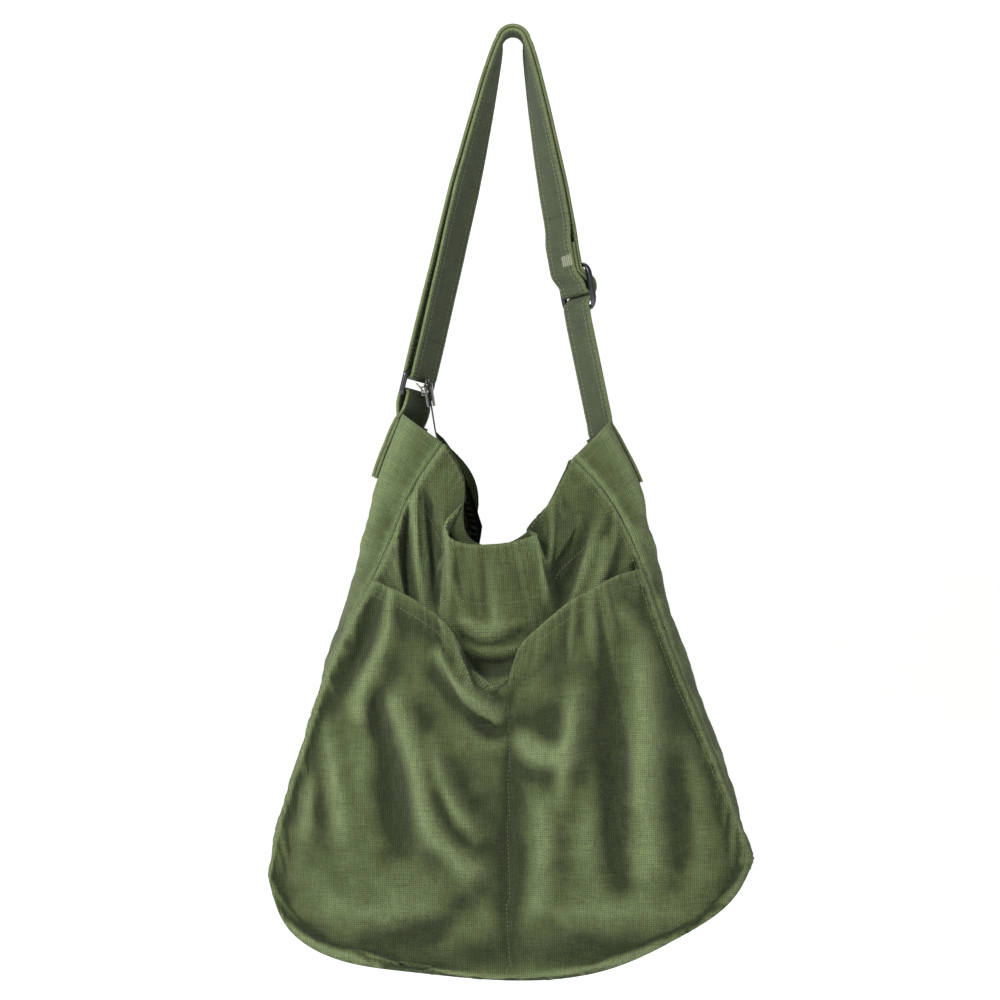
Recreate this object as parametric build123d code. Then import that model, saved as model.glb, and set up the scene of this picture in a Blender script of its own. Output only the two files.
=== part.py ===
from build123d import *
import math
import os

os.makedirs("parts", exist_ok=True)

# Slouchy canvas hobo bag hanging by its doubled, adjustable shoulder strap.
# Millimetres. +Z up, +X to the right of someone facing the pocket, -Y is the front.
# The origin is the underside of the strap's arch, where a hook carries it.

# ---- cloth and gaps
canvas = 1.6  # one layer of the bag's canvas
gap = 0.4  # between sewn layers
seam_gap = 0.5  # between the edges of neighbouring panels

# ---- bag body
half_depth_top = 30  # seam to middle plane at the mouth
half_depth_low = 54  # seam to middle plane in the belly
belly_z = -620  # below this height the body has its full depth
front_bulge = 12  # the filled-out front, beyond its seams
back_bulge = 9
bulge_top_z = -440
bulge_low_z = -690
bulge_end_z = -815

left_seam = [(-58.6, -348.5), (-84, -387), (-109, -445), (-146, -515), (-175, -600), (-197, -672), (-203, -709)]
right_seam = [(51, -360.6), (80, -393), (106, -445), (131, -517), (158, -585), (182, -645), (200, -694)]
bottom_seam = [(-203, -709), (-189, -748), (-160, -771), (-90, -787), (0, -795), (80, -785), (140, -756), (187, -720), (200, -694)]
front_mouth = [(-58.6, -348.5), (-42.5, -380), (-49, -410), (-42, -431), (-5, -431), (27, -405), (42, -378), (51, -360.6)]
back_mouth = [(-58.6, -348.5), (-37, -372), (-32, -400), (-32, -436), (0, -447), (30, -422), (42, -385), (51, -360.6)]

# ---- front pocket
pocket_corner_drop = (0.33, 0.30)  # where its top corners sit down the left and right seams
pocket_edge = [(-75, -494), (-50, -525), (-28, -552), (-5, -560), (8, -542), (40, -514), (80, -474)]
pocket_fullness = 17  # how far each half stands off the front panel
pocket_split_x = -4  # the stitched line that makes two compartments

# ---- mouth facing and zip
facing_depth = 50
hem_inset = 3.2  # the facing's ends, inside the gussets' cloth
zip_inset = 21  # the zip tape's middle, down from the mouth's edge
tape_width = 8.5
tape_thick = 0.7
coil_width = 2.0
coil_thick = 1.6
tail_x = -70.6  # the zip's loose tail stands up beside the chape
tail_y = -10.3
tail_slope = 0.16  # sideways per unit of drop
tail_top_z = -294
tail_low_z = -338
tape_start = 3.5  # coil side of each tape, from the zip's middle
coil_gap = 0.3
bridge_steps = 9  # turns from the tail to the mouth, where the band twists

# ---- zip slider and pull
slider_length = 19.5
slider_width = 11
slider_plate = 2.4
slider_channel = 2.6
slider_post = 2.0
slider_z = -307.3
pull_length = 10.5
pull_width = 6
pull_wire = 1.1
pull_eye_gap = 1.7  # under the slider's bridge
pivot_z = 4.3  # above the slider's middle
pull_thick = 1.3
stop_length = 2.4
stop_width = 2.2
stop_thick = 3.2
bottom_stop_width = 6.6
pull_lean = 33  # degrees from upright
bridge_wire = 1.2

# ---- shoulder strap
strap_width = 38
strap_thick = 3.0
leaf_gap = 0.3  # between the two leaves where they lie together
hook_r = 9.0  # radius of what the strap hangs over
left_lean = 13.3  # degrees from upright
right_lean = 10.2
arch_end = 40  # down the right leg, where the stretch that the adjuster travels begins
flare = 31  # how far the near edges turn outwards
flare_end = 130  # down the leg, where the turn is complete
left_leg = 301  # from the arch to the ring's centre
adjuster_drop = 213.5  # from the arch to the adjuster's centre
adjuster_out = 5.5  # the adjuster's plane, outside the leaves' middle
loop_height = 32  # the loop round the ring
run_above = 62  # strap around the adjuster, above and below its centre
run_below = 34
end_spread = 0.6  # how much further apart the leaves are above the adjuster
wrap_drop = 0.9  # slack of the sewn end under the middle bar
end_fold_length = 38  # sewn end folded back above the adjuster's middle bar
tab_slices = 3  # how many gusset slices the sewn tabs lie over
tab_clearance = 1.4
chape_rise = 6
backing_clearance = 0.5

# ---- ring and adjuster
fit = 0.35  # strap to metal
ring_wire_r = 2.25
ring_inner_width = strap_width + 2
ring_height = 23
adjuster_width = strap_width + 12
adjuster_height = 41
adjuster_thick = 4.0
adjuster_bar = 4.5
adjuster_corner = 12
slot_corner = 1.5
metal_edge = 1.1  # rounding of the cast metal's edges
adjuster_slot_width = strap_width + 2

# ---- reinforcement inside each tab
patch_margin = 4

Y = Vector(0, 1, 0)


def save(shape, name):
    shape.label = name
    export_step(shape, f"parts/{name}.step")


def mix(a, b, t):
    return a + (b - a) * t


def clamp(t):
    return max(0.0, min(1.0, t))


def smooth(t):
    t = clamp(t)
    return t * t * (3 - 2 * t)


def half_depth(z):
    top_z = left_seam[0][1]
    return mix(half_depth_top, half_depth_low, smooth((top_z - z) / (top_z - belly_z)))


def bulge(z):
    rise = smooth((bulge_top_z - z) / (bulge_top_z - bulge_low_z))
    fall = smooth((z - bulge_end_z) / (bulge_low_z - bulge_end_z))
    return rise if z > bulge_low_z else fall


def curve(points):
    return Spline(*[(x, 0, z) for x, z in points])


left_line = curve(left_seam)
right_line = curve(right_seam)
bottom_line = curve(bottom_seam)


def body_x(z):
    """Left and right seam at a height, held past the ends."""
    sides = []
    for points in (left_seam, right_seam):
        x = points[0][0] if z > points[0][1] else points[-1][0]
        for (xa, za), (xb, zb) in zip(points, points[1:]):
            if zb <= z <= za:
                x = mix(xa, xb, (za - z) / (za - zb))
        sides.append(x)
    return sides


def across(x, z):
    """1 midway between the seams, 0 at them."""
    xl, xr = body_x(z)
    t = 2 * (x - xl) / (xr - xl) - 1
    return max(0.0, 1 - t * t)


def front_y(x, z):
    return -half_depth(z) - front_bulge * bulge(z) * across(x, z)


def back_y(x, z):
    return half_depth(z) + back_bulge * bulge(z) * across(x, z)


def pocket_y(x, z):
    xl, xr = body_x(z)
    a, b = (xl, pocket_split_x) if x < pocket_split_x else (pocket_split_x, xr)
    half = math.sin(math.pi * clamp((x - a) / (b - a)))
    drop = clamp((z - bottom_seam[4][1]) / 60)
    return front_y(x, z) - gap - pocket_fullness * half * drop


def sheet(surface_y, outer, thick, z_top, z_low, levels, columns=13):
    """A wall of cloth: level slices of y = surface_y(x, z), thick towards outer."""
    slices = []
    for i in range(levels):
        z = mix(z_top, z_low, i / (levels - 1))
        xl, xr = body_x(z)
        xs = [mix(xl - 6, xr + 6, k / (columns - 1)) for k in range(columns)]
        near = [(x, surface_y(x, z), z) for x in xs]
        far = [(x, surface_y(x, z) + outer * thick, z) for x in xs]
        near_edge = Spline(*near)
        far_edge = Spline(*far)
        ends = [Line(near[0], far[0]), Line(near[-1], far[-1])]
        slices.append(Wire([near_edge, ends[1], far_edge, ends[0]]))
    return Solid.make_loft(slices, ruled=True)


def prism(edges, y_from, y_to):
    """Everything between two depths inside an outline drawn in the XZ plane."""
    outline = Face(Wire(edges))
    return Solid.extrude(Pos(0, y_from, 0) * outline, Vector(0, y_to - y_from, 0))


def ribbon(stations, width, thick):
    """A flat band through stations of (centre, width direction, normal)."""
    wires = []
    for centre, across_dir, normal in stations:
        plane = Plane(origin=centre, x_dir=across_dir, z_dir=across_dir.cross(normal))
        wires.append((plane * Rectangle(width, thick)).wire())
    return Solid.make_loft(wires, ruled=True)


# ---- front and back panels
body_outline = [left_line, bottom_line, right_line]
top_z = left_seam[0][1] + 6
low_z = bottom_seam[4][1] - 4
front_wall = sheet(front_y, 1, canvas, top_z, low_z, 15)
back_wall = sheet(back_y, -1, canvas, top_z, low_z, 15)
front_cut = prism(body_outline + [curve(front_mouth)], -120, 0)
back_cut = prism(body_outline + [curve(back_mouth)], 0, 120)
front_panel = front_wall & front_cut
back_panel = back_wall & back_cut
save(front_panel, "front_panel")
save(back_panel, "back_panel")

# ---- front pocket, sewn in with the side and bottom seams
pocket_left = left_line @ pocket_corner_drop[0]
pocket_right = right_line @ pocket_corner_drop[1]
pocket_top = Spline(
    (pocket_left.X, 0, pocket_left.Z),
    *[(x, 0, z) for x, z in pocket_edge],
    (pocket_right.X, 0, pocket_right.Z),
)
pocket_outline = [
    left_line.trim(pocket_corner_drop[0], 1),
    bottom_line,
    right_line.trim(pocket_corner_drop[1], 1),
    pocket_top,
]
pocket_wall = sheet(pocket_y, -1, canvas, pocket_left.Z + 14, low_z, 12, 25)
front_pocket = pocket_wall & prism(pocket_outline, -140, 0)
save(front_pocket, "front_pocket")


# ---- side gussets and base: one boxing strip along the outline
def strip_slice(line, u, offsets, outward):
    """A slice of the strip square to the seam: (near, middle, far) stand out by offsets."""
    seam = line @ u
    along = line % u
    out = Vector(along.Z, 0, -along.X).normalized() * outward
    edge = half_depth(seam.Z) - canvas - seam_gap
    places = [(-edge, 0), (-0.55 * edge, offsets[0]), (0, offsets[1]), (0.55 * edge, offsets[2]), (edge, 0)]
    outer = [seam + out * off + Y * y for y, off in places]
    middle = seam + out * (offsets[1] / 2)
    inner = []
    for k, p in enumerate(outer):
        before = outer[max(k - 1, 0)]
        after = outer[min(k + 1, len(outer) - 1)]
        chord = (after - before).normalized()
        inward = chord.cross(along.normalized()).normalized()
        if inward.dot(out) > 0:
            inward = -inward
        inner.append(p + inward * canvas)
    edges = [Spline(*outer), Line(outer[-1], inner[-1]), Spline(*inner), Line(outer[0], inner[0])]
    return Wire(edges), outer, out


def strip(line, places, outward):
    made = [strip_slice(line, u, offsets, outward) for u, offsets in places]
    return Solid.make_loft([m[0] for m in made], ruled=True), made


left_places = [
    (0.0, (43, 32, 21)),
    (0.06, (37, 27, 17)),
    (0.13, (31, 22, 13)),
    (0.20, (27, 20, 13)),
    (0.27, (23, 18, 13)),
    (0.36, (14, 13, 11)),
    (0.46, (5, 7, 6)),
    (0.60, (1, 2, 2)),
    (0.78, (0, -3, -1)),
    (0.90, (0, -2, 0)),
    (0.995, (1, 1, 1)),
]
right_places = [
    (0.0, (43, 32, 21)),
    (0.06, (36, 26, 16)),
    (0.13, (29, 20, 11)),
    (0.20, (20, 16, 12)),
    (0.30, (14, 13, 11)),
    (0.42, (11, 11, 10)),
    (0.56, (10, 9, 8)),
    (0.72, (8, 6, 5)),
    (0.88, (4, 2, 3)),
    (0.995, (1, 1, 1)),
]
base_places = [(0.01, (1, 1, 1)), (0.06, (2, 3, 2)), (0.12, (3, 4, 3)), (0.20, (3, 5, 3))]
base_places += [(0.3 + 0.1 * k, (3, 6, 3)) for k in range(5)]
base_places += [(0.80, (4, 6, 4)), (0.88, (3, 5, 3)), (0.95, (2, 3, 2)), (0.99, (1, 1, 1))]
left_gusset, left_slices = strip(left_line, left_places, 1)
right_gusset, right_slices = strip(right_line, right_places, -1)
base_panel, base_slices = strip(bottom_line, base_places, 1)
save(left_gusset, "left_gusset")
save(right_gusset, "right_gusset")
save(base_panel, "base_panel")


# ---- mouth facings, lying inside the panels along the mouth's edge
def lowered(points, drop):
    """The mouth's curve moved down into the bag, its ends drawn in from the seams."""
    middle = (points[0][0] + points[-1][0]) / 2
    half = (points[-1][0] - points[0][0]) / 2
    moved = []
    for x, z in points:
        side = (x - middle) / half
        moved.append((x + side * (drop * 0.35 - hem_inset), z - drop * (1 - 0.25 * abs(side))))
    return curve(moved)


def mouth_band(points, first, last):
    """The strip between two depths below the mouth's edge."""
    upper = lowered(points, first)
    lower = lowered(points, last)
    return [upper, Line(upper @ 1, lower @ 1), lower, Line(upper @ 0, lower @ 0)]


def layer_y(side, depth, shift=0.0):
    """A surface inside the front (-1) or back (1) panel, depth in from its outside."""
    panel = front_y if side < 0 else back_y
    return lambda x, z: panel(x, z) - side * depth


facing_in = canvas + gap
for name, side, mouth in (("front", -1, front_mouth), ("back", 1, back_mouth)):
    wall = sheet(layer_y(side, facing_in), -side, canvas, top_z, back_mouth[4][1] - 70, 7)
    band = mouth_band(mouth, 1, facing_depth)
    cut = prism(band, -90, 0) if side < 0 else prism(band, 0, 90)
    save(wall & cut, f"{name}_mouth_facing")


# ---- zip: two tapes with their coils, and the loose tail where they meet
def tail_point(t):
    """On the zip's middle line, from the tail's top to where the tapes part."""
    z = mix(tail_top_z, tail_low_z, t)
    return Vector(tail_x + tail_slope * (slider_z - z), tail_y, z)


tail_normal = Vector(-1, 0, -tail_slope).normalized()


def towards(start, end, count, early=1.0):
    """Stations between two others; early below 1 turns the band before it moves across."""
    between = []
    for k in range(1, count + 1):
        t = k / (count + 1)
        centre = start[0] + (end[0] - start[0]) * t
        turned = [a + (b - a) * t**early for a, b in zip(start[1:], end[1:])]
        between.append((centre, turned[0].normalized(), turned[1].normalized()))
    return between


def zip_line(mouth, side, depth):
    """Where one tape's teeth meet the other's: down the tail, then round inside the mouth."""
    tail = [(tail_point(k / 2), Y * side, tail_normal) for k in range(3)]
    edge = lowered(mouth, zip_inset)
    panel = front_y if side < 0 else back_y
    inside = []
    for k in range(9):
        u = 0.26 + 0.68 * k / 8
        p = edge @ u
        along = edge % u
        up = Vector(-along.Z, 0, along.X).normalized()
        place = Vector(p.X, panel(p.X, p.Z) - side * depth, p.Z)
        inside.append((place - up * (tape_start + tape_width / 2), up, Y * side))
    return tail + towards(tail[-1], inside[0], bridge_steps, 0.5) + inside


def beside(stations, offset):
    return [(centre + w * offset, w, normal) for centre, w, normal in stations]


zip_depth = facing_in + canvas + 2 * gap + coil_thick / 2
coil_mid = tape_start - coil_gap - coil_width / 2
top_stops = []
for name, side, mouth in (("front", -1, front_mouth), ("back", 1, back_mouth)):
    line = zip_line(mouth, side, zip_depth)
    coil = beside(line, coil_mid)
    save(ribbon(beside(line, tape_start + tape_width / 2), tape_width, tape_thick), f"{name}_zip_tape")
    save(ribbon(coil, coil_width, coil_thick), f"{name}_zip_coil")
    centre, w, normal = coil[-1]
    end = Plane(origin=centre, x_dir=w, z_dir=(centre - coil[-2][0]).normalized())
    top_stops.append(end * Pos(0, 0, stop_length / 2 + gap) * Box(stop_width, stop_thick, stop_length))
save(Compound(children=top_stops), "zip_top_stops")


# ---- where things are along the strap
def leg_frame(side, lean, turn):
    """Axes on a leg: out (away from the other leg), up, and the band's width and normal."""
    a = math.radians(lean)
    out = Vector(side * math.cos(a), 0, math.sin(a))
    up = Vector(-side * math.sin(a), 0, math.cos(a))
    return out, up, *band_axes(out, turn)


def band_axes(out, turn):
    f = math.radians(turn)
    return -Y * math.cos(f) + out * math.sin(f), out * math.cos(f) + Y * math.sin(f)


def turn_at(d):
    return flare * clamp(d / flare_end) ** 0.6


mid_r = hook_r + strap_thick + leaf_gap / 2  # middle between the leaves on the arch
hook = Vector(0, 0, -hook_r)


def leg_point(side, lean, d):
    """Middle between the leaves, d down a leg from the arch."""
    out, up, _, _ = leg_frame(side, lean, 0)
    return hook + out * mid_r - up * d


def leg_station(side, lean, d, offset):
    _, _, width_dir, normal = leg_frame(side, lean, turn_at(d))
    return leg_point(side, lean, d) + normal * offset, width_dir, normal


def arch_stations(offset):
    """Over the hook, from the left leg to the right one."""
    first = -90 + left_lean
    last = 90 - right_lean
    stations = []
    for k in range(1, 12):
        a = math.radians(mix(first, last, k / 12))
        out = Vector(math.sin(a), 0, math.cos(a))
        stations.append((hook + out * (mid_r + offset), *band_axes(out, 0)))
    return stations


leaf = (strap_thick + leaf_gap) / 2  # each leaf's offset where they lie together
ring_leaf = ring_wire_r + fit + strap_thick / 2  # and where they part round the ring
bar_leaf = adjuster_thick / 2 + fit + strap_thick / 2

# left leg and ring
left_out, left_up, left_width, left_normal = leg_frame(-1, left_lean, flare)
ring_centre = leg_point(-1, left_lean, left_leg)
ring_bar = ring_height / 2 - ring_wire_r  # from the ring's centre to each bar
loop_top = left_leg - ring_bar - loop_height

# right leg and adjuster
right_out, right_up, right_width, right_normal = leg_frame(1, right_lean, flare)
adjuster_centre = leg_point(1, right_lean, adjuster_drop) + right_normal * adjuster_out
run_top = adjuster_drop - run_above
run_low = adjuster_drop + run_below


def on_leg(centre, up, width_dir, normal, n, v):
    return centre + normal * n + up * v, width_dir, normal


# ---- the strap's two leaves, from the ring's loop over the hook to the adjuster
def right_leaf(sign, first, last, count):
    stations = []
    for k in range(count):
        d = mix(first, last, k / (count - 1))
        offset = sign * mix(leaf, leaf + end_spread, d / run_top)
        stations.append(leg_station(1, right_lean, d, offset))
    return stations


def upper_leaf(sign):
    """From the ring's loop up the left leg, over the hook and onto the right leg."""
    stations = []
    for k in range(12):
        d = mix(loop_top, 0, k / 11)
        offset = sign * mix(leaf, ring_leaf, (d / loop_top) ** 1.5)
        stations.append(leg_station(-1, left_lean, d, offset))
    return stations + arch_stations(sign * leaf) + right_leaf(sign, 0, arch_end, 4)


def both_leaves(stations_of):
    return Compound(children=[ribbon(stations_of(sign), strap_width, strap_thick) for sign in (-1, 1)])


save(both_leaves(upper_leaf), "shoulder_strap")
save(both_leaves(lambda sign: right_leaf(sign, arch_end + leaf_gap, run_top, 6)), "strap_right_leg")


def loop_stations(frame, bar_v, bar_r, way, length):
    """Both leaves round one bar, opening upwards (way 1) or downwards (-1)."""
    centre, up, width_dir, normal = frame
    rises = (length, length * 0.5, 1.0)
    stations = [on_leg(*frame, bar_r, bar_v + way * v) for v in rises]
    for k in range(13):
        a = math.pi * k / 12
        turned = normal * math.cos(a) - up * (way * math.sin(a))
        stations.append((centre + up * bar_v + turned * bar_r, width_dir, turned))
    back = centre - normal * bar_r
    stations += [(back + up * (bar_v + way * v), width_dir, -normal) for v in rises[::-1]]
    return stations


ring_frame = (ring_centre, left_up, left_width, left_normal)
loop = loop_stations(ring_frame, ring_bar, ring_leaf, 1, loop_height - 0.5)
save(ribbon(loop, strap_width, strap_thick), "strap_ring_loop")

# ---- rectangular ring
ring_plane = Plane(origin=ring_centre, x_dir=left_width, z_dir=left_normal)
ring_mid_width = ring_inner_width + 2 * ring_wire_r
ring_mid_height = ring_height - 2 * ring_wire_r
ring_path = ring_plane * RectangleRounded(ring_mid_width, ring_mid_height, 3.5)
ring_start = ring_path.wire()
ring_section = Plane(origin=ring_start @ 0, z_dir=ring_start % 0) * Circle(ring_wire_r)
save(sweep(ring_section, path=ring_start), "strap_ring")


# ---- adjuster: an oval three-bar slide
adjuster_frame = (adjuster_centre, right_up, right_width, right_normal)
adjuster_plane = Plane(origin=adjuster_centre, x_dir=right_width, z_dir=right_normal)
slot_height = (adjuster_height - 3 * adjuster_bar) / 2
slot_mid = (adjuster_bar + slot_height) / 2
slots = GridLocations(0, 2 * slot_mid, 1, 2)
outline = RectangleRounded(adjuster_width, adjuster_height, adjuster_corner)
outline -= slots * RectangleRounded(adjuster_slot_width, slot_height, slot_corner)
adjuster = extrude(outline, amount=adjuster_thick / 2, both=True)
flat_sides = adjuster.faces().filter_by(Axis.Z)
adjuster = fillet(flat_sides.edges(), metal_edge)
save(adjuster_plane * adjuster, "strap_adjuster")

# ---- strap through the adjuster
pitch = strap_thick + fit  # from one leaf's middle to the next one's
outer_bar = slot_height + adjuster_bar  # middle bar to either outer bar
half_bar = adjuster_bar / 2
run_out = -adjuster_out + leaf + end_spread
sewn_out = -adjuster_out - leaf - end_spread
round_bar = bar_leaf + pitch
running = [
    (run_out, run_above - 0.5),
    (run_out, run_above - 18),
    (-bar_leaf, outer_bar + 12),
    (-bar_leaf, outer_bar + 2),
    (-bar_leaf, outer_bar - 1.7),
    (-bar_leaf + 0.95, outer_bar - 4.1),
    (0, 4.7 + 2 * pitch),
    (round_bar - 4.1, 1.8 + 2 * pitch),
    (round_bar - 1.2, half_bar + pitch),
    (round_bar - 0.2, half_bar + 0.8),
    (round_bar, 0),
    (round_bar * 0.924, -round_bar * 0.383),
    (round_bar * 0.72, -round_bar * 0.76),
    (round_bar * 0.36, -round_bar * 1.12),
    (0, -round_bar * 1.45),
    (-bar_leaf + 1.2, -outer_bar + 5.4),
    (-bar_leaf + 0.1, -outer_bar + 3),
    (-bar_leaf, -outer_bar),
    (-bar_leaf - 0.1, -outer_bar - 7),
    (-bar_leaf, -run_below + 0.25),
]
sewn = [
    (sewn_out, run_above - 0.5),
    (sewn_out - 0.9, run_above - 12),
    (-bar_leaf - 2 * pitch + 0.1, end_fold_length + 3),
    (-bar_leaf - 2 * pitch - 0.1, end_fold_length - 8),
    (-bar_leaf - 2 * pitch - 0.1, outer_bar),
    (-bar_leaf - 2 * pitch + 0.6, outer_bar - 5.2),
    (-bar_leaf - pitch - 0.8, outer_bar - 9),
    (-bar_leaf - 2.1, 6.2),
    (-bar_leaf - 0.5, 3.2),
]
wrap = []
for degrees in range(0, 181, 30):
    a = math.radians(degrees)
    wrap.append((-bar_leaf * math.cos(a), -(bar_leaf + wrap_drop) * math.sin(a)))
fold_back = [
    (bar_leaf, 1.5),
    (bar_leaf - 0.45, 3.2),
    (bar_leaf - 1.55, 4.75),
    (0, 3.45 + pitch),
    (-bar_leaf + 0.5, outer_bar - 8.2),
    (-bar_leaf - pitch + 1.3, outer_bar - 5.8),
    (-bar_leaf - pitch + 0.2, outer_bar - 3.6),
    (-bar_leaf - pitch, outer_bar - 0.7),
    (-bar_leaf - pitch, outer_bar + 8),
    (-bar_leaf - pitch + 0.25, end_fold_length),
]


def profile_stations(profile, frame):
    """Stations along a curve drawn across the band: (out from the metal, up the leg)."""
    path = Spline(*[(n, v) for n, v in profile])
    count = 3 * len(profile)
    centre, up, width_dir, normal = frame
    stations = []
    for k in range(count + 1):
        p = path @ (k / count)
        t = path % (k / count)
        turned = (normal * -t.Y + up * t.X).normalized()
        stations.append((centre + normal * p.X + up * p.Y, width_dir, turned))
    return stations


run_stations = profile_stations(running, adjuster_frame)
sewn_stations = profile_stations(sewn + wrap + fold_back, adjuster_frame)
save(ribbon(run_stations, strap_width, strap_thick), "strap_adjuster_run")
save(ribbon(sewn_stations, strap_width, strap_thick), "strap_end_fold")


# ---- the strap's sewn tab, the ring's chape and their backings
def patch_station(made, out_by, facing=1):
    """Flat against a gusset slice, out_by from its outer face."""
    _, outer, out = made
    width_dir = (outer[1] - outer[3]).normalized()
    normal = (out - width_dir * out.dot(width_dir)).normalized()
    return (outer[1] + outer[3]) * 0.5 + normal * out_by, width_dir, normal * facing


def patch(slices, out_by, facing=1):
    return [patch_station(made, out_by, facing) for made in slices[:tab_slices]]


on_gusset = strap_thick / 2 + tab_clearance
right_patch = patch(right_slices, on_gusset)
leg_end = on_leg(*adjuster_frame, -bar_leaf, -run_below - 0.25)
tab_end = [leg_end] + towards(leg_end, right_patch[0], 5) + right_patch
save(ribbon(tab_end, strap_width, strap_thick), "strap_tab_end")

chape_loop = loop_stations(ring_frame, -ring_bar, ring_leaf, -1, chape_rise)
outer_patch = patch(left_slices, on_gusset + strap_thick + leaf_gap)
inner_patch = patch(left_slices, on_gusset, -1)
chape = outer_patch[::-1] + towards(outer_patch[0], chape_loop[0], 1) + chape_loop
chape += towards(chape_loop[-1], inner_patch[0], 1) + inner_patch
save(ribbon(chape, strap_width, strap_thick), "ring_chape")

backing_in = -canvas - gap - canvas / 2 - backing_clearance
for name, slices in (("left", left_slices), ("right", right_slices)):
    save(ribbon(patch(slices, backing_in), strap_width - patch_margin, canvas), f"{name}_tab_backing")

# ---- zip slider, running down the tail; its nose points up
slider_centre = tail_point((tail_top_z - slider_z) / (tail_top_z - tail_low_z))
slider_plane = Plane(origin=slider_centre, x_dir=-Y, z_dir=tail_normal)
plate_mid = (slider_channel + slider_plate) / 2
nose = Rectangle(slider_width, slider_length).vertices().group_by(Axis.Y)[-1]
plate_shape = chamfer(nose, 3.2)
plate = extrude(plate_shape, amount=slider_plate / 2, both=True)
plate = fillet(plate.edges(), 0.5)
post_z = slider_length / 2 - 3.4
post = Pos(0, post_z, 0) * Box(slider_post, 4.4, slider_channel + 1)
bridge_top = plate_mid + slider_plate / 2 + pull_eye_gap + bridge_wire
feet = [
    Pos(0, z, (bridge_top + plate_mid) / 2) * Box(2, bridge_wire, bridge_top - plate_mid)
    for z in (pivot_z - 3.4, pivot_z + 3.4)
]
rail = Pos(0, pivot_z, bridge_top - bridge_wire / 2) * Box(2, 6.8 + bridge_wire, bridge_wire)
slider = Pos(0, 0, plate_mid) * plate + Pos(0, 0, -plate_mid) * plate + post + rail
for foot in feet:
    slider += foot
save(slider_plane * slider, "zip_slider")

# ---- zip pull: an eye round the bridge and a short tab
pivot = (0, pivot_z, plate_mid + slider_plate / 2 + pull_eye_gap / 2)
eye_out = 1 + fit + pull_wire
arm_length = 5.3
cross_bar = Cylinder(pull_wire / 2, 2 * eye_out, rotation=(0, 90, 0))
arms = [
    Pos(side * (eye_out - pull_wire / 2), arm_length / 2, 0) * Box(pull_wire, arm_length, pull_wire)
    for side in (-1, 1)
]
tab = extrude(RectangleRounded(pull_width, pull_length - arm_length, 1.5), amount=pull_thick / 2, both=True)
pull = cross_bar + arms[0] + arms[1] + Pos(0, (pull_length + arm_length) / 2 - 0.3, 0) * tab
save(slider_plane * Pos(*pivot) * Rot(pull_lean, 0, 0) * pull, "zip_pull")

# ---- the clip that joins both coils at the tail's top
stop_place = Pos(0, slider_length / 2 + stop_length, 0)
save(slider_plane * stop_place * Box(bottom_stop_width, stop_length, stop_thick), "zip_bottom_stop")
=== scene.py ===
import math

import bpy
import numpy as np
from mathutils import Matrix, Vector, noise


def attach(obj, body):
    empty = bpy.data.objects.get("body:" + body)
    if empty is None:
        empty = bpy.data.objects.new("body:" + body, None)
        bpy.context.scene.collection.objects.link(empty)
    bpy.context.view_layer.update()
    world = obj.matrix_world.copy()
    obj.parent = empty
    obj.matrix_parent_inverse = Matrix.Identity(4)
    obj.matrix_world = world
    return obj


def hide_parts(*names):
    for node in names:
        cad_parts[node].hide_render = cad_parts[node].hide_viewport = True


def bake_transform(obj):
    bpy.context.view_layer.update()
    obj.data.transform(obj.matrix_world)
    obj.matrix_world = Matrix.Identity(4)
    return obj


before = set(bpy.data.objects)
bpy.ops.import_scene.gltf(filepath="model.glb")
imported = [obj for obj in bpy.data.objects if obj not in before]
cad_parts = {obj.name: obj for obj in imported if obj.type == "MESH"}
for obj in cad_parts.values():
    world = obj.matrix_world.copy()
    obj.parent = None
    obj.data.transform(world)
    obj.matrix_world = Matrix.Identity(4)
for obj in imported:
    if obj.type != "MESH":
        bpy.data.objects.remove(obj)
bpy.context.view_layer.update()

mm = 0.001
scene = bpy.context.scene
print("frame loaded")

# camera, lights and floor
studio = {
    "cameraPlace": (-0.011, -2.4, -0.396),
    "lens": 101.6,
    "floorHeight": -1.02,
    "paper": "#f4f4f2",
    "paperGlow": 0.5,
    "keyPower": 66,
    "fillPower": 5.5,
    "rimPower": 8,
    "skyStrength": 0.25,
}


def toLinear(code):
    # from sRGB hex
    parts = [int(code[i:i + 2], 16) / 255 for i in (1, 3, 5)]
    return (*[c / 12.92 if c <= 0.04045 else ((c + 0.055) / 1.055) ** 2.4 for c in parts], 1)


def tune(node, values):
    for socket, value in values.items():
        node.inputs[socket].default_value = value


def addNode(tree, kind, values=None, links=None, **settings):
    node = tree.nodes.new(kind)
    for key, value in settings.items():
        setattr(node, key, value)
    tune(node, values or {})
    for socket, source in (links or {}).items():
        tree.links.new(source, node.inputs[socket])
    return node


def addObject(name, data):
    made = bpy.data.objects.new(name, data)
    scene.collection.objects.link(made)
    return made


def newMaterial(name):
    material = bpy.data.materials.new(name)
    material.use_nodes = True
    return material, material.node_tree, material.node_tree.nodes["Principled BSDF"]


def addLight(name, place, aim, size, power):
    data = bpy.data.lights.new(name, "AREA")
    data.shape = "DISK"
    data.size = size
    data.energy = power
    light = addObject(name, data)
    light.location = place
    light.rotation_euler = (Vector(aim) - Vector(place)).to_track_quat("-Z", "Y").to_euler()


cameraData = bpy.data.cameras.new("camera")
cameraData.lens = studio["lens"]
camera = addObject("camera", cameraData)
camera.location = studio["cameraPlace"]
camera.rotation_euler = (math.pi / 2, 0, 0)
scene.camera = camera
scene.view_settings.view_transform = "Standard"

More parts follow.
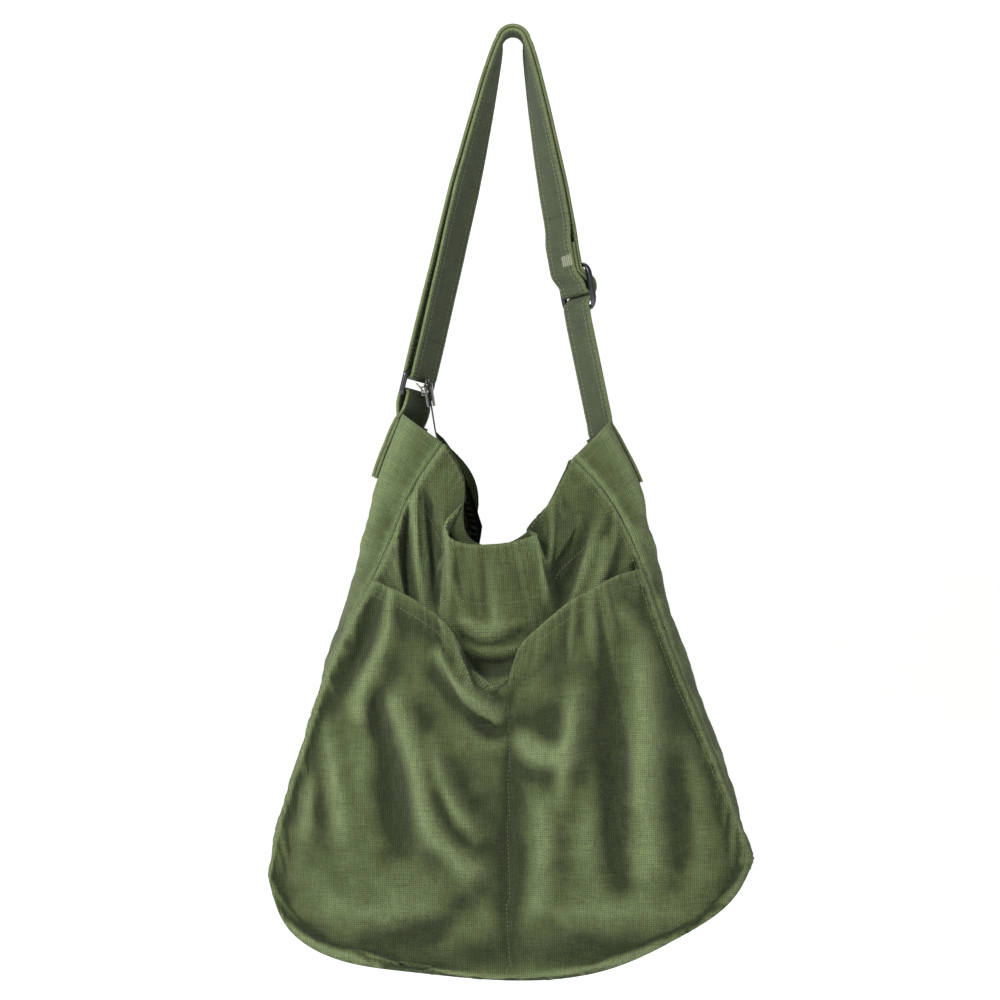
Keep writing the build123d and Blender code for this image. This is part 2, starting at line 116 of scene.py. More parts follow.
world = bpy.data.worlds.new("studioSky")
world.use_nodes = True
tune(world.node_tree.nodes["Background"], {"Color": (1, 1, 1, 1), "Strength": studio["skyStrength"]})
scene.world = world
addLight("keyLight", (-1.5, -1.7, 1.0), (0, 0, -0.5), 0.9, studio["keyPower"])
addLight("fillLight", (1.6, -2.0, 0.1), (0, 0, -0.5), 1.6, studio["fillPower"])
addLight("rimLight", (0.4, 1.8, 1.0), (0, 0, -0.4), 1.4, studio["rimPower"])


def buildFloor():
    # a paper sweep: flat floor, then a large bend up into a wall
    profile = [(-4.5, 0.0), (3.0, 0.0)]
    profile += [(3.0 + 1.5 * math.sin(a), 1.5 - 1.5 * math.cos(a)) for a in np.linspace(0.1, math.pi / 2, 12)]
    profile += [(4.5, 5.0)]
    verts = []
    for x in (-7, 7):
        verts += [(x, y, studio["floorHeight"] + z) for y, z in profile]
    n = len(profile)
    faces = [(k, k + n, k + n + 1, k + 1) for k in range(n - 1)]
    mesh = bpy.data.meshes.new("paperSweep")
    mesh.from_pydata(verts, [], faces)
    mesh.shade_smooth()
    material, tree, shader = newMaterial("mattePaper")
    tune(shader, {
        "Base Color": toLinear(studio["paper"]), "Roughness": 0.9,
        "Emission Color": (1, 1, 1, 1), "Emission Strength": studio["paperGlow"],
    })
    mesh.materials.append(material)
    addObject("paperSweep", mesh)


buildFloor()
print("studio ready")


# small shape helpers; shapes are worked out in millimetres
def mix(a, b, t):
    return a + (b - a) * t


def ease(t):
    t = np.clip(t, 0, 1)
    return t * t * (3 - 2 * t)


def unit(v):
    return v / np.maximum(np.linalg.norm(v, axis=-1, keepdims=True), 1e-9)


def smoothLine(points, count):
    # evenly spaced points on a natural cubic spline
    p = np.array(points, float)
    h = np.maximum(np.linalg.norm(np.diff(p, axis=0), axis=1), 1e-6)
    knots = np.concatenate([[0], np.cumsum(h)])
    n = len(p)
    left = np.eye(n)
    right = np.zeros_like(p)
    for i in range(1, n - 1):
        left[i, i - 1:i + 2] = h[i - 1], 2 * (h[i - 1] + h[i]), h[i]
        right[i] = 6 * ((p[i + 1] - p[i]) / h[i] - (p[i] - p[i - 1]) / h[i - 1])
    m = np.linalg.solve(left, right)
    s = np.linspace(0, knots[-1], 30 * n)
    k = np.clip(np.searchsorted(knots, s, "right") - 1, 0, n - 2)
    before = (s - knots[k])[:, None]
    after = (knots[k + 1] - s)[:, None]
    step = h[k][:, None]
    fine = (m[k] * after**3 + m[k + 1] * before**3) / (6 * step)
    fine += (p[k] / step - m[k] * step / 6) * after + (p[k + 1] / step - m[k + 1] * step / 6) * before
    return spread(fine, count)


def runOf(line):
    # length from the start to each point
    return np.concatenate([[0], np.cumsum(np.linalg.norm(np.diff(line, axis=0), axis=1))])


def readAlong(line, at, run):
    return np.stack([np.interp(at, run, line[:, i]) for i in range(line.shape[1])], 1)


def spread(line, count):
    # the same line, with evenly spaced points
    run = runOf(line)
    return readAlong(line, np.linspace(0, run[-1], count), run)


def partOf(line, first, last, count):
    # the stretch between two shares of a line's length
    n = len(line)
    return readAlong(line, np.linspace(first, last, count) * (n - 1), np.arange(n))


def patch(top, bottom, left, right):
    # a Coons patch between four edges
    u = np.linspace(0, 1, len(top))[None, :, None]
    v = np.linspace(0, 1, len(left))[:, None, None]
    ruled = (1 - v) * top[None] + v * bottom[None] + (1 - u) * left[:, None] + u * right[:, None]
    corners = (1 - u) * (1 - v) * top[0] + u * (1 - v) * top[-1] + (1 - u) * v * bottom[0] + u * v * bottom[-1]
    return ruled - corners


def gridNormals(grid, outward):
    du = np.gradient(grid, axis=1)
    dv = np.gradient(grid, axis=0)
    return unit(np.cross(dv, du)) * outward


def cloudAt(points, size, seed, octaves=3):
    # smooth noise, about -1 to 1, with lumps of that size in millimetres
    flat = points.reshape(-1, 3) / size + seed * 17.3
    out = np.array([noise.fractal(Vector(p), 1.0, 2.0, octaves) for p in flat])
    return out.reshape(points.shape[:-1])


def foldHeight(x, z, folds):
    # ridges (height above 0) and hollows along lines drawn in the front view
    total = np.zeros_like(x)
    for width, height, points in folds:
        line = smoothLine(points, 36)
        gap = np.hypot(x[..., None] - line[:, 0], z[..., None] - line[:, 1])
        near = gap.argmin(-1)
        along = near / 35
        total += height * np.exp(-(gap.min(-1) / width) ** 2) * np.sin(math.pi * (0.08 + 0.84 * along)) ** 0.6
    return total


def relax(field, rounds):
    for _ in range(rounds):
        padded = np.pad(field, [(1, 1), (1, 1)] + [(0, 0)] * (field.ndim - 2), "edge")
        field = (padded[:-2, 1:-1] + padded[2:, 1:-1] + padded[1:-1, :-2] + padded[1:-1, 2:]) / 4
    return field


# cloth meshes
def linkMesh(name, verts, faces, material, uv, paleness):
    mesh = bpy.data.meshes.new(name)
    mesh.from_pydata((verts * mm).tolist(), [], faces)
    layer = mesh.uv_layers.new(name="cloth")
    loops = np.zeros(len(mesh.loops), np.int32)
    mesh.loops.foreach_get("vertex_index", loops)
    layer.data.foreach_set("uv", (uv[loops] * mm).astype(np.float32).ravel())
    # a level per point: edge wear and wash fading, with painted highlight on ridges and painted shade in hollows and
    # on inner faces
    attribute = mesh.attributes.new("paleness", "FLOAT", "POINT")
    attribute.data.foreach_set("value", paleness.astype(np.float32))
    mesh.materials.append(material)
    mesh.shade_smooth()
    return addObject(name, mesh)


def gridQuads(rows, cols):
    idx = np.arange(rows * cols).reshape(rows, cols)
    return idx, np.stack([idx[:-1, :-1], idx[1:, :-1], idx[1:, 1:], idx[:-1, 1:]], -1).reshape(-1, 4)


def clothMesh(name, grid, thick, material, uv, paleness, outward=1):
    # one layer of cloth: grid is its outer face, thick goes inwards
    rows, cols = grid.shape[:2]
    normal = gridNormals(grid, outward)
    inner = grid - normal * (thick[..., None] if isinstance(thick, np.ndarray) else thick)
    n = rows * cols
    idx, quads = gridQuads(rows, cols)
    border = list(idx[0, :]) + list(idx[1:, -1]) + list(idx[-1, -2::-1]) + list(idx[-2:0:-1, 0])
    ring = np.array(border)
    after = np.roll(ring, -1)
    rim = np.stack([ring, after, after + n, ring + n], -1)
    if outward > 0:
        faces = np.concatenate([quads, quads[:, ::-1] + n, rim])
    else:
        faces = np.concatenate([quads[:, ::-1], quads + n, rim[:, ::-1]])
    verts = np.concatenate([grid.reshape(-1, 3), inner.reshape(-1, 3)])
    uvs = np.concatenate([uv.reshape(-1, 2)] * 2)
    # the inner face gets a lower level: painted shade on the inside of the bag
    palenessWithInsideShade = np.concatenate([paleness.ravel(), paleness.ravel() - 0.15])
    return linkMesh(name, verts, faces.tolist(), material, uvs, palenessWithInsideShade)


def bandMesh(name, stations, width, thick, material):
    # a folded band along stations of centre, width direction and normal
    half = width / 2
    section = [-half, -half + 0.5, -half + 2.2, -half + 4.5, -half + 7, -half + 11, -4]
    across = np.array(section + [0] + [-w for w in section[::-1]])
    puff = np.array([0.45, 0.9, 0.86, 1.04, 0.9, 1.03, 1.06, 1.06])
    height = np.concatenate([puff, puff[-2::-1]]) * thick / 2
    loopW = np.concatenate([across, across[::-1]])
    loopN = np.concatenate([height, -height[::-1]])
    centre, side, normal = (stations[:, i:i + 3] for i in (0, 3, 6))
    m = len(loopW)
    rows = len(centre)
    verts = centre[:, None] + side[:, None] * loopW[None, :, None] + normal[:, None] * loopN[None, :, None]
    run = runOf(centre)
    uv = np.stack([np.broadcast_to(loopW, (rows, m)), np.broadcast_to(run[:, None], (rows, m))], -1)
    paleness = np.broadcast_to(0.15 + 0.75 * np.exp(-((half - np.abs(loopW)) / 1.2) ** 2), (rows, m))
    idx = np.arange(rows * m).reshape(rows, m)
    nxt = np.roll(idx, -1, 1)
    quads = np.stack([idx[:-1], idx[1:], nxt[1:], nxt[:-1]], -1).reshape(-1, 4).tolist()
    handed = np.dot(np.cross(side[0], normal[0]), centre[1] - centre[0])
    faces = quads + [idx[0].tolist(), idx[-1][::-1].tolist()]
    if handed > 0:
        faces = [f[::-1] for f in faces]
    return linkMesh(name, verts.reshape(-1, 3), faces, material, uv.reshape(-1, 2), paleness.ravel())


def wearAndShadeFrom(grid, outward, edges=0.0):
    # lighter on ridges, partly as garment washing leaves it and partly painted highlight; darker in hollows, painted
    # shade
    normal = gridNormals(grid, outward)
    lifted = ((grid - relax(grid, 40)) * normal).sum(-1)
    return np.clip(0.32 + lifted * 0.22 + edges, 0, 1)


# materials
canvas = {
    "threadPitch": 1.7,  # mm; the real cloth's 0.9 mm threads would not show at this distance
    "shade": "#525f39",
    # the lighter colour is wash fading with painted highlight; the darkest is painted shade for hollows
    "fadedAndHighlight": "#7c8b5e",
    "hollowShade": "#343d22",
}


def canvasMaterial(name, shade, fadedAndHighlight, hollowShade, pitch, crease=1.0):
    # garment-washed cotton canvas: heavy plain weave with slubby yarns, dull, softly fuzzy, paler on its ridges from
    # wash fading and painted highlight, darker in its hollows and weave gaps from painted shade
    material, tree, shader = newMaterial(name)
    uv = addNode(tree, "ShaderNodeUVMap", uv_map="cloth").outputs["UV"]
    apart = addNode(tree, "ShaderNodeSeparateXYZ", links={0: uv})

    def calc(operation, a, b=None):
        node = addNode(tree, "ShaderNodeMath", operation=operation)
        for i, v in enumerate((a, b)):
            if isinstance(v, (int, float)):
                node.inputs[i].default_value = v
            elif v is not None:
                tree.links.new(v, node.inputs[i])
        return node.outputs[0]

    wobble = addNode(tree, "ShaderNodeTexNoise", {"Scale": 140, "Detail": 2}, {"Vector": uv}).outputs["Fac"]
    shift = calc("MULTIPLY", calc("SUBTRACT", wobble, 0.5), 2.6)
    warp = calc("SINE", calc("ADD", calc("MULTIPLY", apart.outputs["X"], math.pi / (pitch * mm)), shift))
    weft = calc("SINE", calc("ADD", calc("MULTIPLY", apart.outputs["Y"], math.pi / (pitch * mm)), shift))
    domes = calc("POWER", calc("ABSOLUTE", calc("MULTIPLY", warp, weft)), 0.6)
    over = calc("GREATER_THAN", calc("MULTIPLY", warp, weft), 0.0)
    streaks = []
    for scale in ((700, 60, 1), (60, 700, 1)):
        place = addNode(tree, "ShaderNodeMapping", {"Scale": scale}, {"Vector": uv})
        streak = addNode(tree, "ShaderNodeTexNoise", {"Scale": 1.0, "Detail": 3}, {"Vector": place.outputs[0]})
        streaks.append(streak.outputs["Fac"])
    slub = addNode(tree, "ShaderNodeMix", links={0: over, 2: streaks[0], 3: streaks[1]}).outputs[0]
    where = addNode(tree, "ShaderNodeTexCoord").outputs["Object"]
    patches = addNode(tree, "ShaderNodeTexNoise", {"Scale": 14, "Detail": 4, "Roughness": 0.6}, {"Vector": where})
    creases = addNode(tree, "ShaderNodeTexNoise", {"Scale": 75, "Detail": 5, "Roughness": 0.62}, {"Vector": where})
    # this level holds edge wear and wash fading, plus painted highlight on ridges and painted shade in hollows
    wornAndShaded = addNode(tree, "ShaderNodeAttribute", attribute_name="paleness").outputs["Fac"]
    blotches = calc("MULTIPLY", calc("SUBTRACT", patches.outputs["Fac"], 0.5), 0.35)
    level = calc("ADD", calc("MULTIPLY", wornAndShaded, 0.9), blotches)
    # the fine creases also darken their hollows and pale their tops: painted shade and painted highlight
    level = calc("ADD", level, calc("MULTIPLY", calc("SUBTRACT", creases.outputs["Fac"], 0.5), 0.3))
    # the ramp runs from painted hollow shade through the canvas's own colour to its faded, highlighted colour
    ramp = addNode(tree, "ShaderNodeValToRGB", links={0: level})
    ramp.color_ramp.elements[0].color = toLinear(hollowShade)
    middle = ramp.color_ramp.elements.new(0.3)
    middle.color = toLinear(shade)
    ramp.color_ramp.elements[-1].color = toLinear(fadedAndHighlight)
    # slubs vary the yarn tone; the weave domes darken the gaps between crossings, a painted shade
    yarnToneAndWeaveShade = calc("ADD", calc("MULTIPLY", slub, 1.7), calc("MULTIPLY", domes, 0.55))
    tintWithWeaveShade = calc("MULTIPLY", yarnToneAndWeaveShade, 0.85)
    colour = addNode(
        tree, "ShaderNodeMix", {0: 1.0}, {6: ramp.outputs[0], 7: tintWithWeaveShade}, data_type="RGBA", blend_type="MULTIPLY"
    )
    tree.links.new(colour.outputs[2], shader.inputs["Base Color"])
    rough = calc("ADD", calc("MULTIPLY", slub, 0.15), 0.8)
    tree.links.new(rough, shader.inputs["Roughness"])
    weave = calc("ADD", domes, calc("MULTIPLY", slub, 1.4))
    fine = addNode(tree, "ShaderNodeBump", {"Strength": 1.0, "Distance": 0.0007}, {"Height": weave})
    broad = addNode(
        tree, "ShaderNodeBump", {"Strength": 0.7 * crease, "Distance": 0.004},
        {"Height": creases.outputs["Fac"], "Normal": fine.outputs[0]},
    )
    tree.links.new(broad.outputs[0], shader.inputs["Normal"])
    tune(shader, {"Sheen Weight": 0.12, "Sheen Roughness": 0.5, "Specular IOR Level": 0.2})
    return material


def mottle(tree, shader, shade, grain, *stops):
    # the colour between a darker and a lighter version of itself; stops are (position, factor)
    where = addNode(tree, "ShaderNodeTexCoord").outputs["Object"]
    marks = addNode(tree, "ShaderNodeTexNoise", grain, {"Vector": where}).outputs["Fac"]
    ramp = addNode(tree, "ShaderNodeValToRGB", links={0: marks})
    base = toLinear(shade)
    for stop, (position, factor) in zip(ramp.color_ramp.elements, stops):
        stop.position = position
        stop.color = (*[min(1, c * factor) for c in base[:3]], 1)
    tree.links.new(ramp.outputs[0], shader.inputs["Base Color"])
    return marks


def threadMaterial(name, shade):
    # core-spun sewing thread: smooth, a touch paler and shinier than the canvas
    material, tree, shader = newMaterial(name)
    mottle(tree, shader, shade, {"Scale": 900, "Detail": 1}, (0, 0.6), (1, 1.3))
    tune(shader, {"Roughness": 0.6, "Sheen Weight": 0.2})
    return material


def metalMaterial(name, shade, rough, grain):
    # plated zinc casting: satin, with fine tumbling marks
    material, tree, shader = newMaterial(name)
    marks = mottle(tree, shader, shade, {"Scale": grain, "Detail": 6, "Roughness": 0.7}, (0.3, 0.75), (0.75, 1.25))
    uneven = addNode(tree, "ShaderNodeMath", {1: 0.2, 2: rough - 0.1}, {0: marks}, operation="MULTIPLY_ADD")
    tree.links.new(uneven.outputs[0], shader.inputs["Roughness"])
    bump = addNode(tree, "ShaderNodeBump", {"Strength": 0.15, "Distance": 0.0002}, {"Height": marks})
    tree.links.new(bump.outputs[0], shader.inputs["Normal"])
    tune(shader, {"Metallic": 1.0})
    return material


bodyCanvas = canvasMaterial(
    "washedCottonCanvas", canvas["shade"], canvas["fadedAndHighlight"], canvas["hollowShade"], canvas["threadPitch"]
)
# the same canvas in darker colours: painted shade for the cloth inside the bag
shadedInsideCanvas = canvasMaterial("washedCanvasShadedInside", "#485433", "#65724c", "#2e361e", canvas["threadPitch"], 0.7)
strapCanvas = canvasMaterial("foldedCanvasBand", "#566240", "#77845a", "#3b452a", 1.3, 0.35)
tapeCloth = canvasMaterial("wovenZipTape", "#5a6448", "#737d5e", "#444c36", 0.6, 0.1)
sewingThread = threadMaterial("coreSpunThread", "#636f49")
strapThread = threadMaterial("strapThread", "#7d8861")
nylonCoil = threadMaterial("nylonZipCoil", "#454b38")
gunmetal = metalMaterial("gunmetalPlatedZinc", "#55565a", 0.34, 600)
zipMetal = metalMaterial("nickelPlatedZinc", "#c4c4c0", 0.24, 500)
barTackThread = threadMaterial("barTackThread", "#b4b99e")
print("materials ready")

# the bag's outline in the front view (x, z) and its depth
bag = {
    "leftSeam": [(-58.6, -348.5), (-84, -387), (-109, -445), (-146, -515), (-175, -600), (-197, -672), (-203, -709)],
    "rightSeam": [(51, -360.6), (80, -393), (106, -445), (131, -517), (158, -585), (182, -645), (200, -694)],
    "bottomSeam": [
        (-203, -709), (-189, -748), (-160, -771), (-90, -787), (0, -795), (80, -785), (140, -756),
        (187, -720), (200, -694),
    ],
    "halfDepthTop": 30,
    "halfDepthLow": 54,
    "fullDepthHeight": -620,
    "frontBulge": 12,
    "backBulge": 9,
    "canvas": 1.6,
    "grain": 3.4,  # spacing of the mesh
}
leftLine = smoothLine(bag["leftSeam"], 300)
rightLine = smoothLine(bag["rightSeam"], 300)
bottomLine = smoothLine(bag["bottomSeam"], 400)


def halfDepth(z):
    top = bag["leftSeam"][0][1]
    return mix(bag["halfDepthTop"], bag["halfDepthLow"], ease((top - z) / (top - bag["fullDepthHeight"])))


def bulge(z):
    rise = ease((-440 - z) / 250)
    fall = ease((z + 815) / 125)
    return np.where(z > -690, rise, fall)


def seamsAt(z):
    left = np.interp(-z, -leftLine[:, 1], leftLine[:, 0])
    right = np.interp(-z, -rightLine[:, 1], rightLine[:, 0])
    return left, right


def middleness(x, z):
    left, right = seamsAt(z)
    t = 2 * (x - left) / (right - left) - 1
    return np.clip(1 - t * t, 0, None)


def frontY(x, z):
    return -halfDepth(z) - bag["frontBulge"] * bulge(z) * middleness(x, z)


def backY(x, z):
    return halfDepth(z) + bag["backBulge"] * bulge(z) * middleness(x, z)


def insetOf(grid):
    # distances along the grid from its left, right, top and bottom edges
    across = np.linalg.norm(np.diff(grid, axis=1), axis=-1).cumsum(1)
    across = np.concatenate([np.zeros((grid.shape[0], 1)), across], 1)
    down = np.linalg.norm(np.diff(grid, axis=0), axis=-1).cumsum(0)
    down = np.concatenate([np.zeros((1, grid.shape[1])), down], 0)
    return across, across[:, -1:] - across, down, down[-1:] - down


def seamShape(grid, outward, sides, pucker, seed):
    # rolls the sewn edges in and puckers the cloth beside them
    left, right, top, bottom = insetOf(grid)
    normal = gridNormals(grid, outward)
    lift = np.zeros(grid.shape[:2])
    for name, inset, along in (
        ("left", left, top), ("right", right, top), ("top", top, left), ("bottom", bottom, left),
    ):
        if name not in sides:
            continue
        lift -= 1.5 * np.exp(-(inset / 1.8) ** 2)
        lift += 0.7 * np.exp(-((inset - 5) / 3.2) ** 2)
        wave = np.sin(along / 1.7 + 2.2 * np.sin(along / 13 + seed)) + 0.6 * np.sin(along / 3.1 + 1.4 * seed)
        lift += pucker * wave * np.exp(-((inset - 6) / 5.5) ** 2)
    return grid + normal * lift[..., None]


def gridFrom(flatXZ, depth):
    return np.stack([flatXZ[..., 0], depth, flatXZ[..., 1]], -1)


def pinned(grid, edges, soft=6):
    # 0 at the held edges and 1 inside
    free = np.ones(grid.shape[:2])
    for name, inset in zip(("left", "right", "top", "bottom"), insetOf(grid)):
        if name in edges:
            free = np.minimum(free, ease(inset / soft))
    return free


hang = {"frames": 16, "slack": 0.014, "cap": 6.0, "stiff": 2.5, "held": ("left", "right", "bottom", "top")}


def settle(name, grid):
    # lets the cloth hang between its held edges, from a slightly larger cut
    rows, cols = grid.shape[:2]
    quads = gridQuads(rows, cols)[1]
    mesh = bpy.data.meshes.new(name)
    mesh.from_pydata((grid.reshape(-1, 3) * mm).tolist(), [], quads.tolist())
    cloth = addObject(name, mesh)
    group = cloth.vertex_groups.new(name="held")
    weights = (1 - pinned(grid, hang["held"])).ravel()
    for i in np.nonzero(weights > 0.01)[0]:
        group.add([int(i)], float(weights[i]), "REPLACE")
    modifier = cloth.modifiers.new("cloth", "CLOTH")
    sim = modifier.settings
    sim.quality = 5
    sim.mass = 0.3
    sim.tension_stiffness = 25
    sim.compression_stiffness = 25
    sim.shear_stiffness = 8
    sim.bending_stiffness = hang["stiff"]
    sim.vertex_group_mass = "held"
    sim.shrink_min = -hang["slack"]
    modifier.collision_settings.use_collision = False
    for k in range(1, hang["frames"] + 1):
        scene.frame_set(k)
    shape = cloth.evaluated_get(bpy.context.evaluated_depsgraph_get()).to_mesh()
    co = np.zeros(rows * cols * 3, np.float32)
    shape.vertices.foreach_get("co", co)
    moved = co.reshape(rows, cols, 3) / mm - grid
    scene.frame_set(1)
    bpy.data.objects.remove(cloth)
    length = np.linalg.norm(moved, axis=-1, keepdims=True)
    print(name, "settled, by up to", round(float(length.max()), 1), "mm")
    return grid + moved * np.minimum(1, hang["cap"] / np.maximum(length, 1e-6))


# stitches: one Geometry Nodes tree lays a small shape along drawn rows
def stitchTree():
    tree = bpy.data.node_groups.new("layAlongRows", "GeometryNodeTree")
    face = tree.interface
    for name, kind in (("Geometry", "Geometry"), ("Spacing", "Float"), ("Size", "Vector"), ("Material", "Material")):
        face.new_socket(name=name, in_out="INPUT", socket_type="NodeSocket" + kind)
    face.new_socket(name="Geometry", in_out="OUTPUT", socket_type="NodeSocketGeometry")
    start = addNode(tree, "NodeGroupInput")
    rows = addNode(tree, "GeometryNodeMeshToCurve", links={"Mesh": start.outputs["Geometry"]})
    evenly = addNode(
        tree, "GeometryNodeResampleCurve",
        links={"Curve": rows.outputs[0], "Length": start.outputs["Spacing"]}, mode="LENGTH",
    )
    tangent = addNode(tree, "GeometryNodeInputTangent")
    up = addNode(tree, "GeometryNodeInputNamedAttribute", {"Name": "up"}, data_type="FLOAT_VECTOR")
    along = addNode(tree, "FunctionNodeAlignRotationToVector", links={"Vector": tangent.outputs[0]}, axis="X")
    standing = addNode(
        tree, "FunctionNodeAlignRotationToVector",
        links={"Rotation": along.outputs[0], "Vector": up.outputs["Attribute"]}, axis="Z", pivot_axis="X",
    )
    ball = addNode(tree, "GeometryNodeMeshUVSphere", {"Segments": 6, "Rings": 4, "Radius": 0.5})
    laid = addNode(
        tree, "GeometryNodeInstanceOnPoints",
        links={
            "Points": evenly.outputs[0], "Instance": ball.outputs[0],
            "Rotation": standing.outputs[0], "Scale": start.outputs["Size"],
        },
    )
    real = addNode(tree, "GeometryNodeRealizeInstances", links={0: laid.outputs[0]})
    painted = addNode(
        tree, "GeometryNodeSetMaterial", links={"Geometry": real.outputs[0], "Material": start.outputs["Material"]}
    )
    addNode(tree, "NodeGroupOutput", links={0: painted.outputs[0]})
    return tree


rowTree = stitchTree()


def layAlong(name, rows, spacing, size, material):
    # rows are (points, normals) in millimetres
    verts, edges, ups = [], [], []
    for points, normals in rows:
        start = len(verts)
        verts += (points * mm).tolist()
        ups += normals.tolist()
        edges += [(start + k, start + k + 1) for k in range(len(points) - 1)]
    mesh = bpy.data.meshes.new(name + "Rows")
    mesh.from_pydata(verts, edges, [])
    attribute = mesh.attributes.new("up", "FLOAT_VECTOR", "POINT")
    attribute.data.foreach_set("vector", np.array(ups, np.float32).ravel())
    drawn = addObject(name + "Rows", mesh)
    modifier = drawn.modifiers.new("rows", "NODES")
    modifier.node_group = rowTree
    values = {"Spacing": spacing * mm, "Size": [s * mm for s in size], "Material": material}
    for item in rowTree.interface.items_tree:
        if item.in_out == "INPUT" and item.name in values:
            modifier[item.identifier] = values[item.name]
    drawn.update_tag()
    depsgraph = bpy.context.evaluated_depsgraph_get()
    made = bpy.data.meshes.new_from_object(drawn.evaluated_get(depsgraph))
    made.name = name
    bpy.data.objects.remove(drawn)
    made.shade_smooth()
    return addObject(name, made)


def rowOn(grid, side, inset, outward, first=0.0, last=1.0, lift=0.1):
    # a line on a cloth's outer face, at a distance from one of its edges
    normal = gridNormals(grid, outward)
    points, ups = [], []
    sideways = side in ("left", "right")
    insets = dict(zip(("left", "right", "top", "bottom"), insetOf(grid)))[side]
    lines = range(grid.shape[0]) if sideways else range(grid.shape[1])
    count = len(lines)
    for k in lines:
        if not first <= k / (count - 1) <= last:
            continue
        run = insets[k] if sideways else insets[:, k]
        line = grid[k] if sideways else grid[:, k]
        face = normal[k] if sideways else normal[:, k]
        order = np.argsort(run)
        p = np.array([np.interp(inset, run[order], line[order, i]) for i in range(3)])
        u = np.array([np.interp(inset, run[order], face[order, i]) for i in range(3)])
        points.append(p + u * lift)
        ups.append(u)
    return np.array(points), np.array(ups)


def sewRows(grid, outward, *rows):
    for side, inset, *reach in rows:
        bagStitches.append(rowOn(grid, side, inset, outward, *reach))


def flatOf(grid):
    # widest row, longest column and area, in metres
    left, _, top, _ = insetOf(grid)
    wide = left[:, -1].max() * mm
    long = top[-1].max() * mm
    cross = np.cross(grid[1:, :-1] - grid[:-1, :-1], grid[:-1, 1:] - grid[:-1, :-1])
    return (round(float(wide), 3), round(float(long), 3)), float(np.linalg.norm(cross, axis=-1).sum()) * mm * mm


stitch = {"spacing": 3.6, "body": (3.0, 0.7, 0.55), "strap": (3.0, 0.75, 0.6), "nearSeam": 2.6, "nearEdge": 2.2}
bagStitches = []
sheets = []
gussets = ["left_gusset", "right_gusset"]


def edgeWear(left, right, down, rubbed, at, wide):
    return 0.5 * np.exp(-(np.minimum(left, right) / 2.5) ** 2) + rubbed * np.exp(-((down - at) / wide) ** 2)


def addSheet(piece, size, held, rests, node):
    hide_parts(node)
    sheets.append((piece, *size, held, rests))


def sewPanel(name, node, grid, flat, outward, hem, *rows):
    left, right, down, _ = insetOf(grid)
    thick = bag["canvas"] + hem["added"] * ease((hem["depth"] - down) / 2)
    edges = edgeWear(left, right, down, *hem["paleness"])
    piece = clothMesh(name, grid, thick, bodyCanvas, flat, wearAndShadeFrom(grid, outward, edges), outward)
    sewRows(grid, outward, *rows)
    addSheet(piece, flatOf(gridFrom(flat, 0 * flat[..., 0])), "hung", gussets, node)


# a hem's wear: how much, how far below the edge, and how wide
mouthHem = {"added": 1.2, "depth": 11, "paleness": (0.6, 1, 1.2)}
pocketHem = {"added": 1.0, "depth": 13, "paleness": (0.5, 0.5, 1.6)}
mouthRows = (("top", stitch["nearEdge"]), ("top", 50, 0.03, 0.97))

# front panel
frontCloth = {
    "mouth": [
        (-58.6, -348.5), (-42.5, -380), (-44, -408), (-38, -427), (-5, -431), (27, -405), (42, -378), (51, -360.6),
    ],
    "mouthLine": [  # as it hangs, with the folds where its middle drops
        (-58.6, -348.5, 0), (-47.6, -365.5, 1), (-41.6, -379, 3), (-41, -391, 5), (-46, -401.6, 4),
        (-55, -411, 1), (-58, -418, -4),
        (-54, -426, -8), (-43.7, -431.5, -10), (-23, -433, -11), (-2, -431, -12), (13, -427, -12),
        (20, -424, -10), (14, -421.5, -4),
        (15, -416, 1), (29, -400, 3), (40, -381, 2), (51, -360.6, 0),
    ],
    "hookReach": 34,  # how far down the folds at the mouth carry
    "folds": [
        (5, -9, [(-88, -404), (-89, -440), (-86, -478)]),
        (5.5, 6, [(-80.5, -392), (-80, -440), (-76, -486)]),
        (6, -7, [(-70, -398), (-69, -440), (-60, -478)]),
        (8, 5, [(-57, -420), (-52, -462), (-38, -492)]),
        (12, 8, [(76, -420), (74, -452), (62, -484)]),
        (8, -7, [(22, -486), (40, -472), (52, -452), (58, -424)]),
        (6, -5, [(100, -446), (100, -480), (92, -506)]),
        (6, 3.5, [(-52, -494), (-20, -500), (14, -494)]),
        (6, -5, [(-48, -504), (-20, -510), (12, -505)]),
        (7, 4, [(-40, -514), (-15, -519), (12, -512)]),
        (11, -12, [(-44, -523), (-20, -528), (4, -524)]),
        (5, 3, [(34, -404), (36, -430), (24, -462)]),
        (4, -3, [(44, -398), (50, -426), (44, -446)]),
    ],
}


def buildFrontPanel():
    rows, cols = 132, 112
    top = smoothLine(frontCloth["mouth"], cols)
    bottom = spread(bottomLine, cols)
    flat = patch(top, bottom, spread(leftLine, rows), spread(rightLine, rows))
    x, z = flat[..., 0], flat[..., 1]
    grid = gridFrom(flat, frontY(x, z))
    hung = smoothLine(frontCloth["mouthLine"], cols)
    down = insetOf(grid)[2]
    fade = np.exp(-((down / frontCloth["hookReach"]) ** 1.5))
    grid[..., 0] += (hung[:, 0] - top[:, 0])[None] * fade
    grid[..., 2] += (hung[:, 1] - top[:, 1])[None] * fade
    grid[..., 1] += hung[:, 2][None] * np.exp(-((down / 60) ** 2))
    free = pinned(grid, ("left", "right", "bottom"), 9)
    lift = 1.3 * foldHeight(grid[..., 0], grid[..., 2], frontCloth["folds"]) + 1.2 * cloudAt(grid, 36, 1)
    grid[..., 1] -= lift * free
    grid = settle("frontPanel", grid)
    grid = seamShape(grid, 1, ("left", "right"), 0.3, 1)
    near = stitch["nearSeam"]
    sewPanel(
        "frontPanel", "front_panel", grid, flat, 1, mouthHem,
        ("left", near), ("left", 8.5, 0.0, 0.4), ("right", near), ("right", 8.5), *mouthRows,
    )


buildFrontPanel()
print("front panel ready")

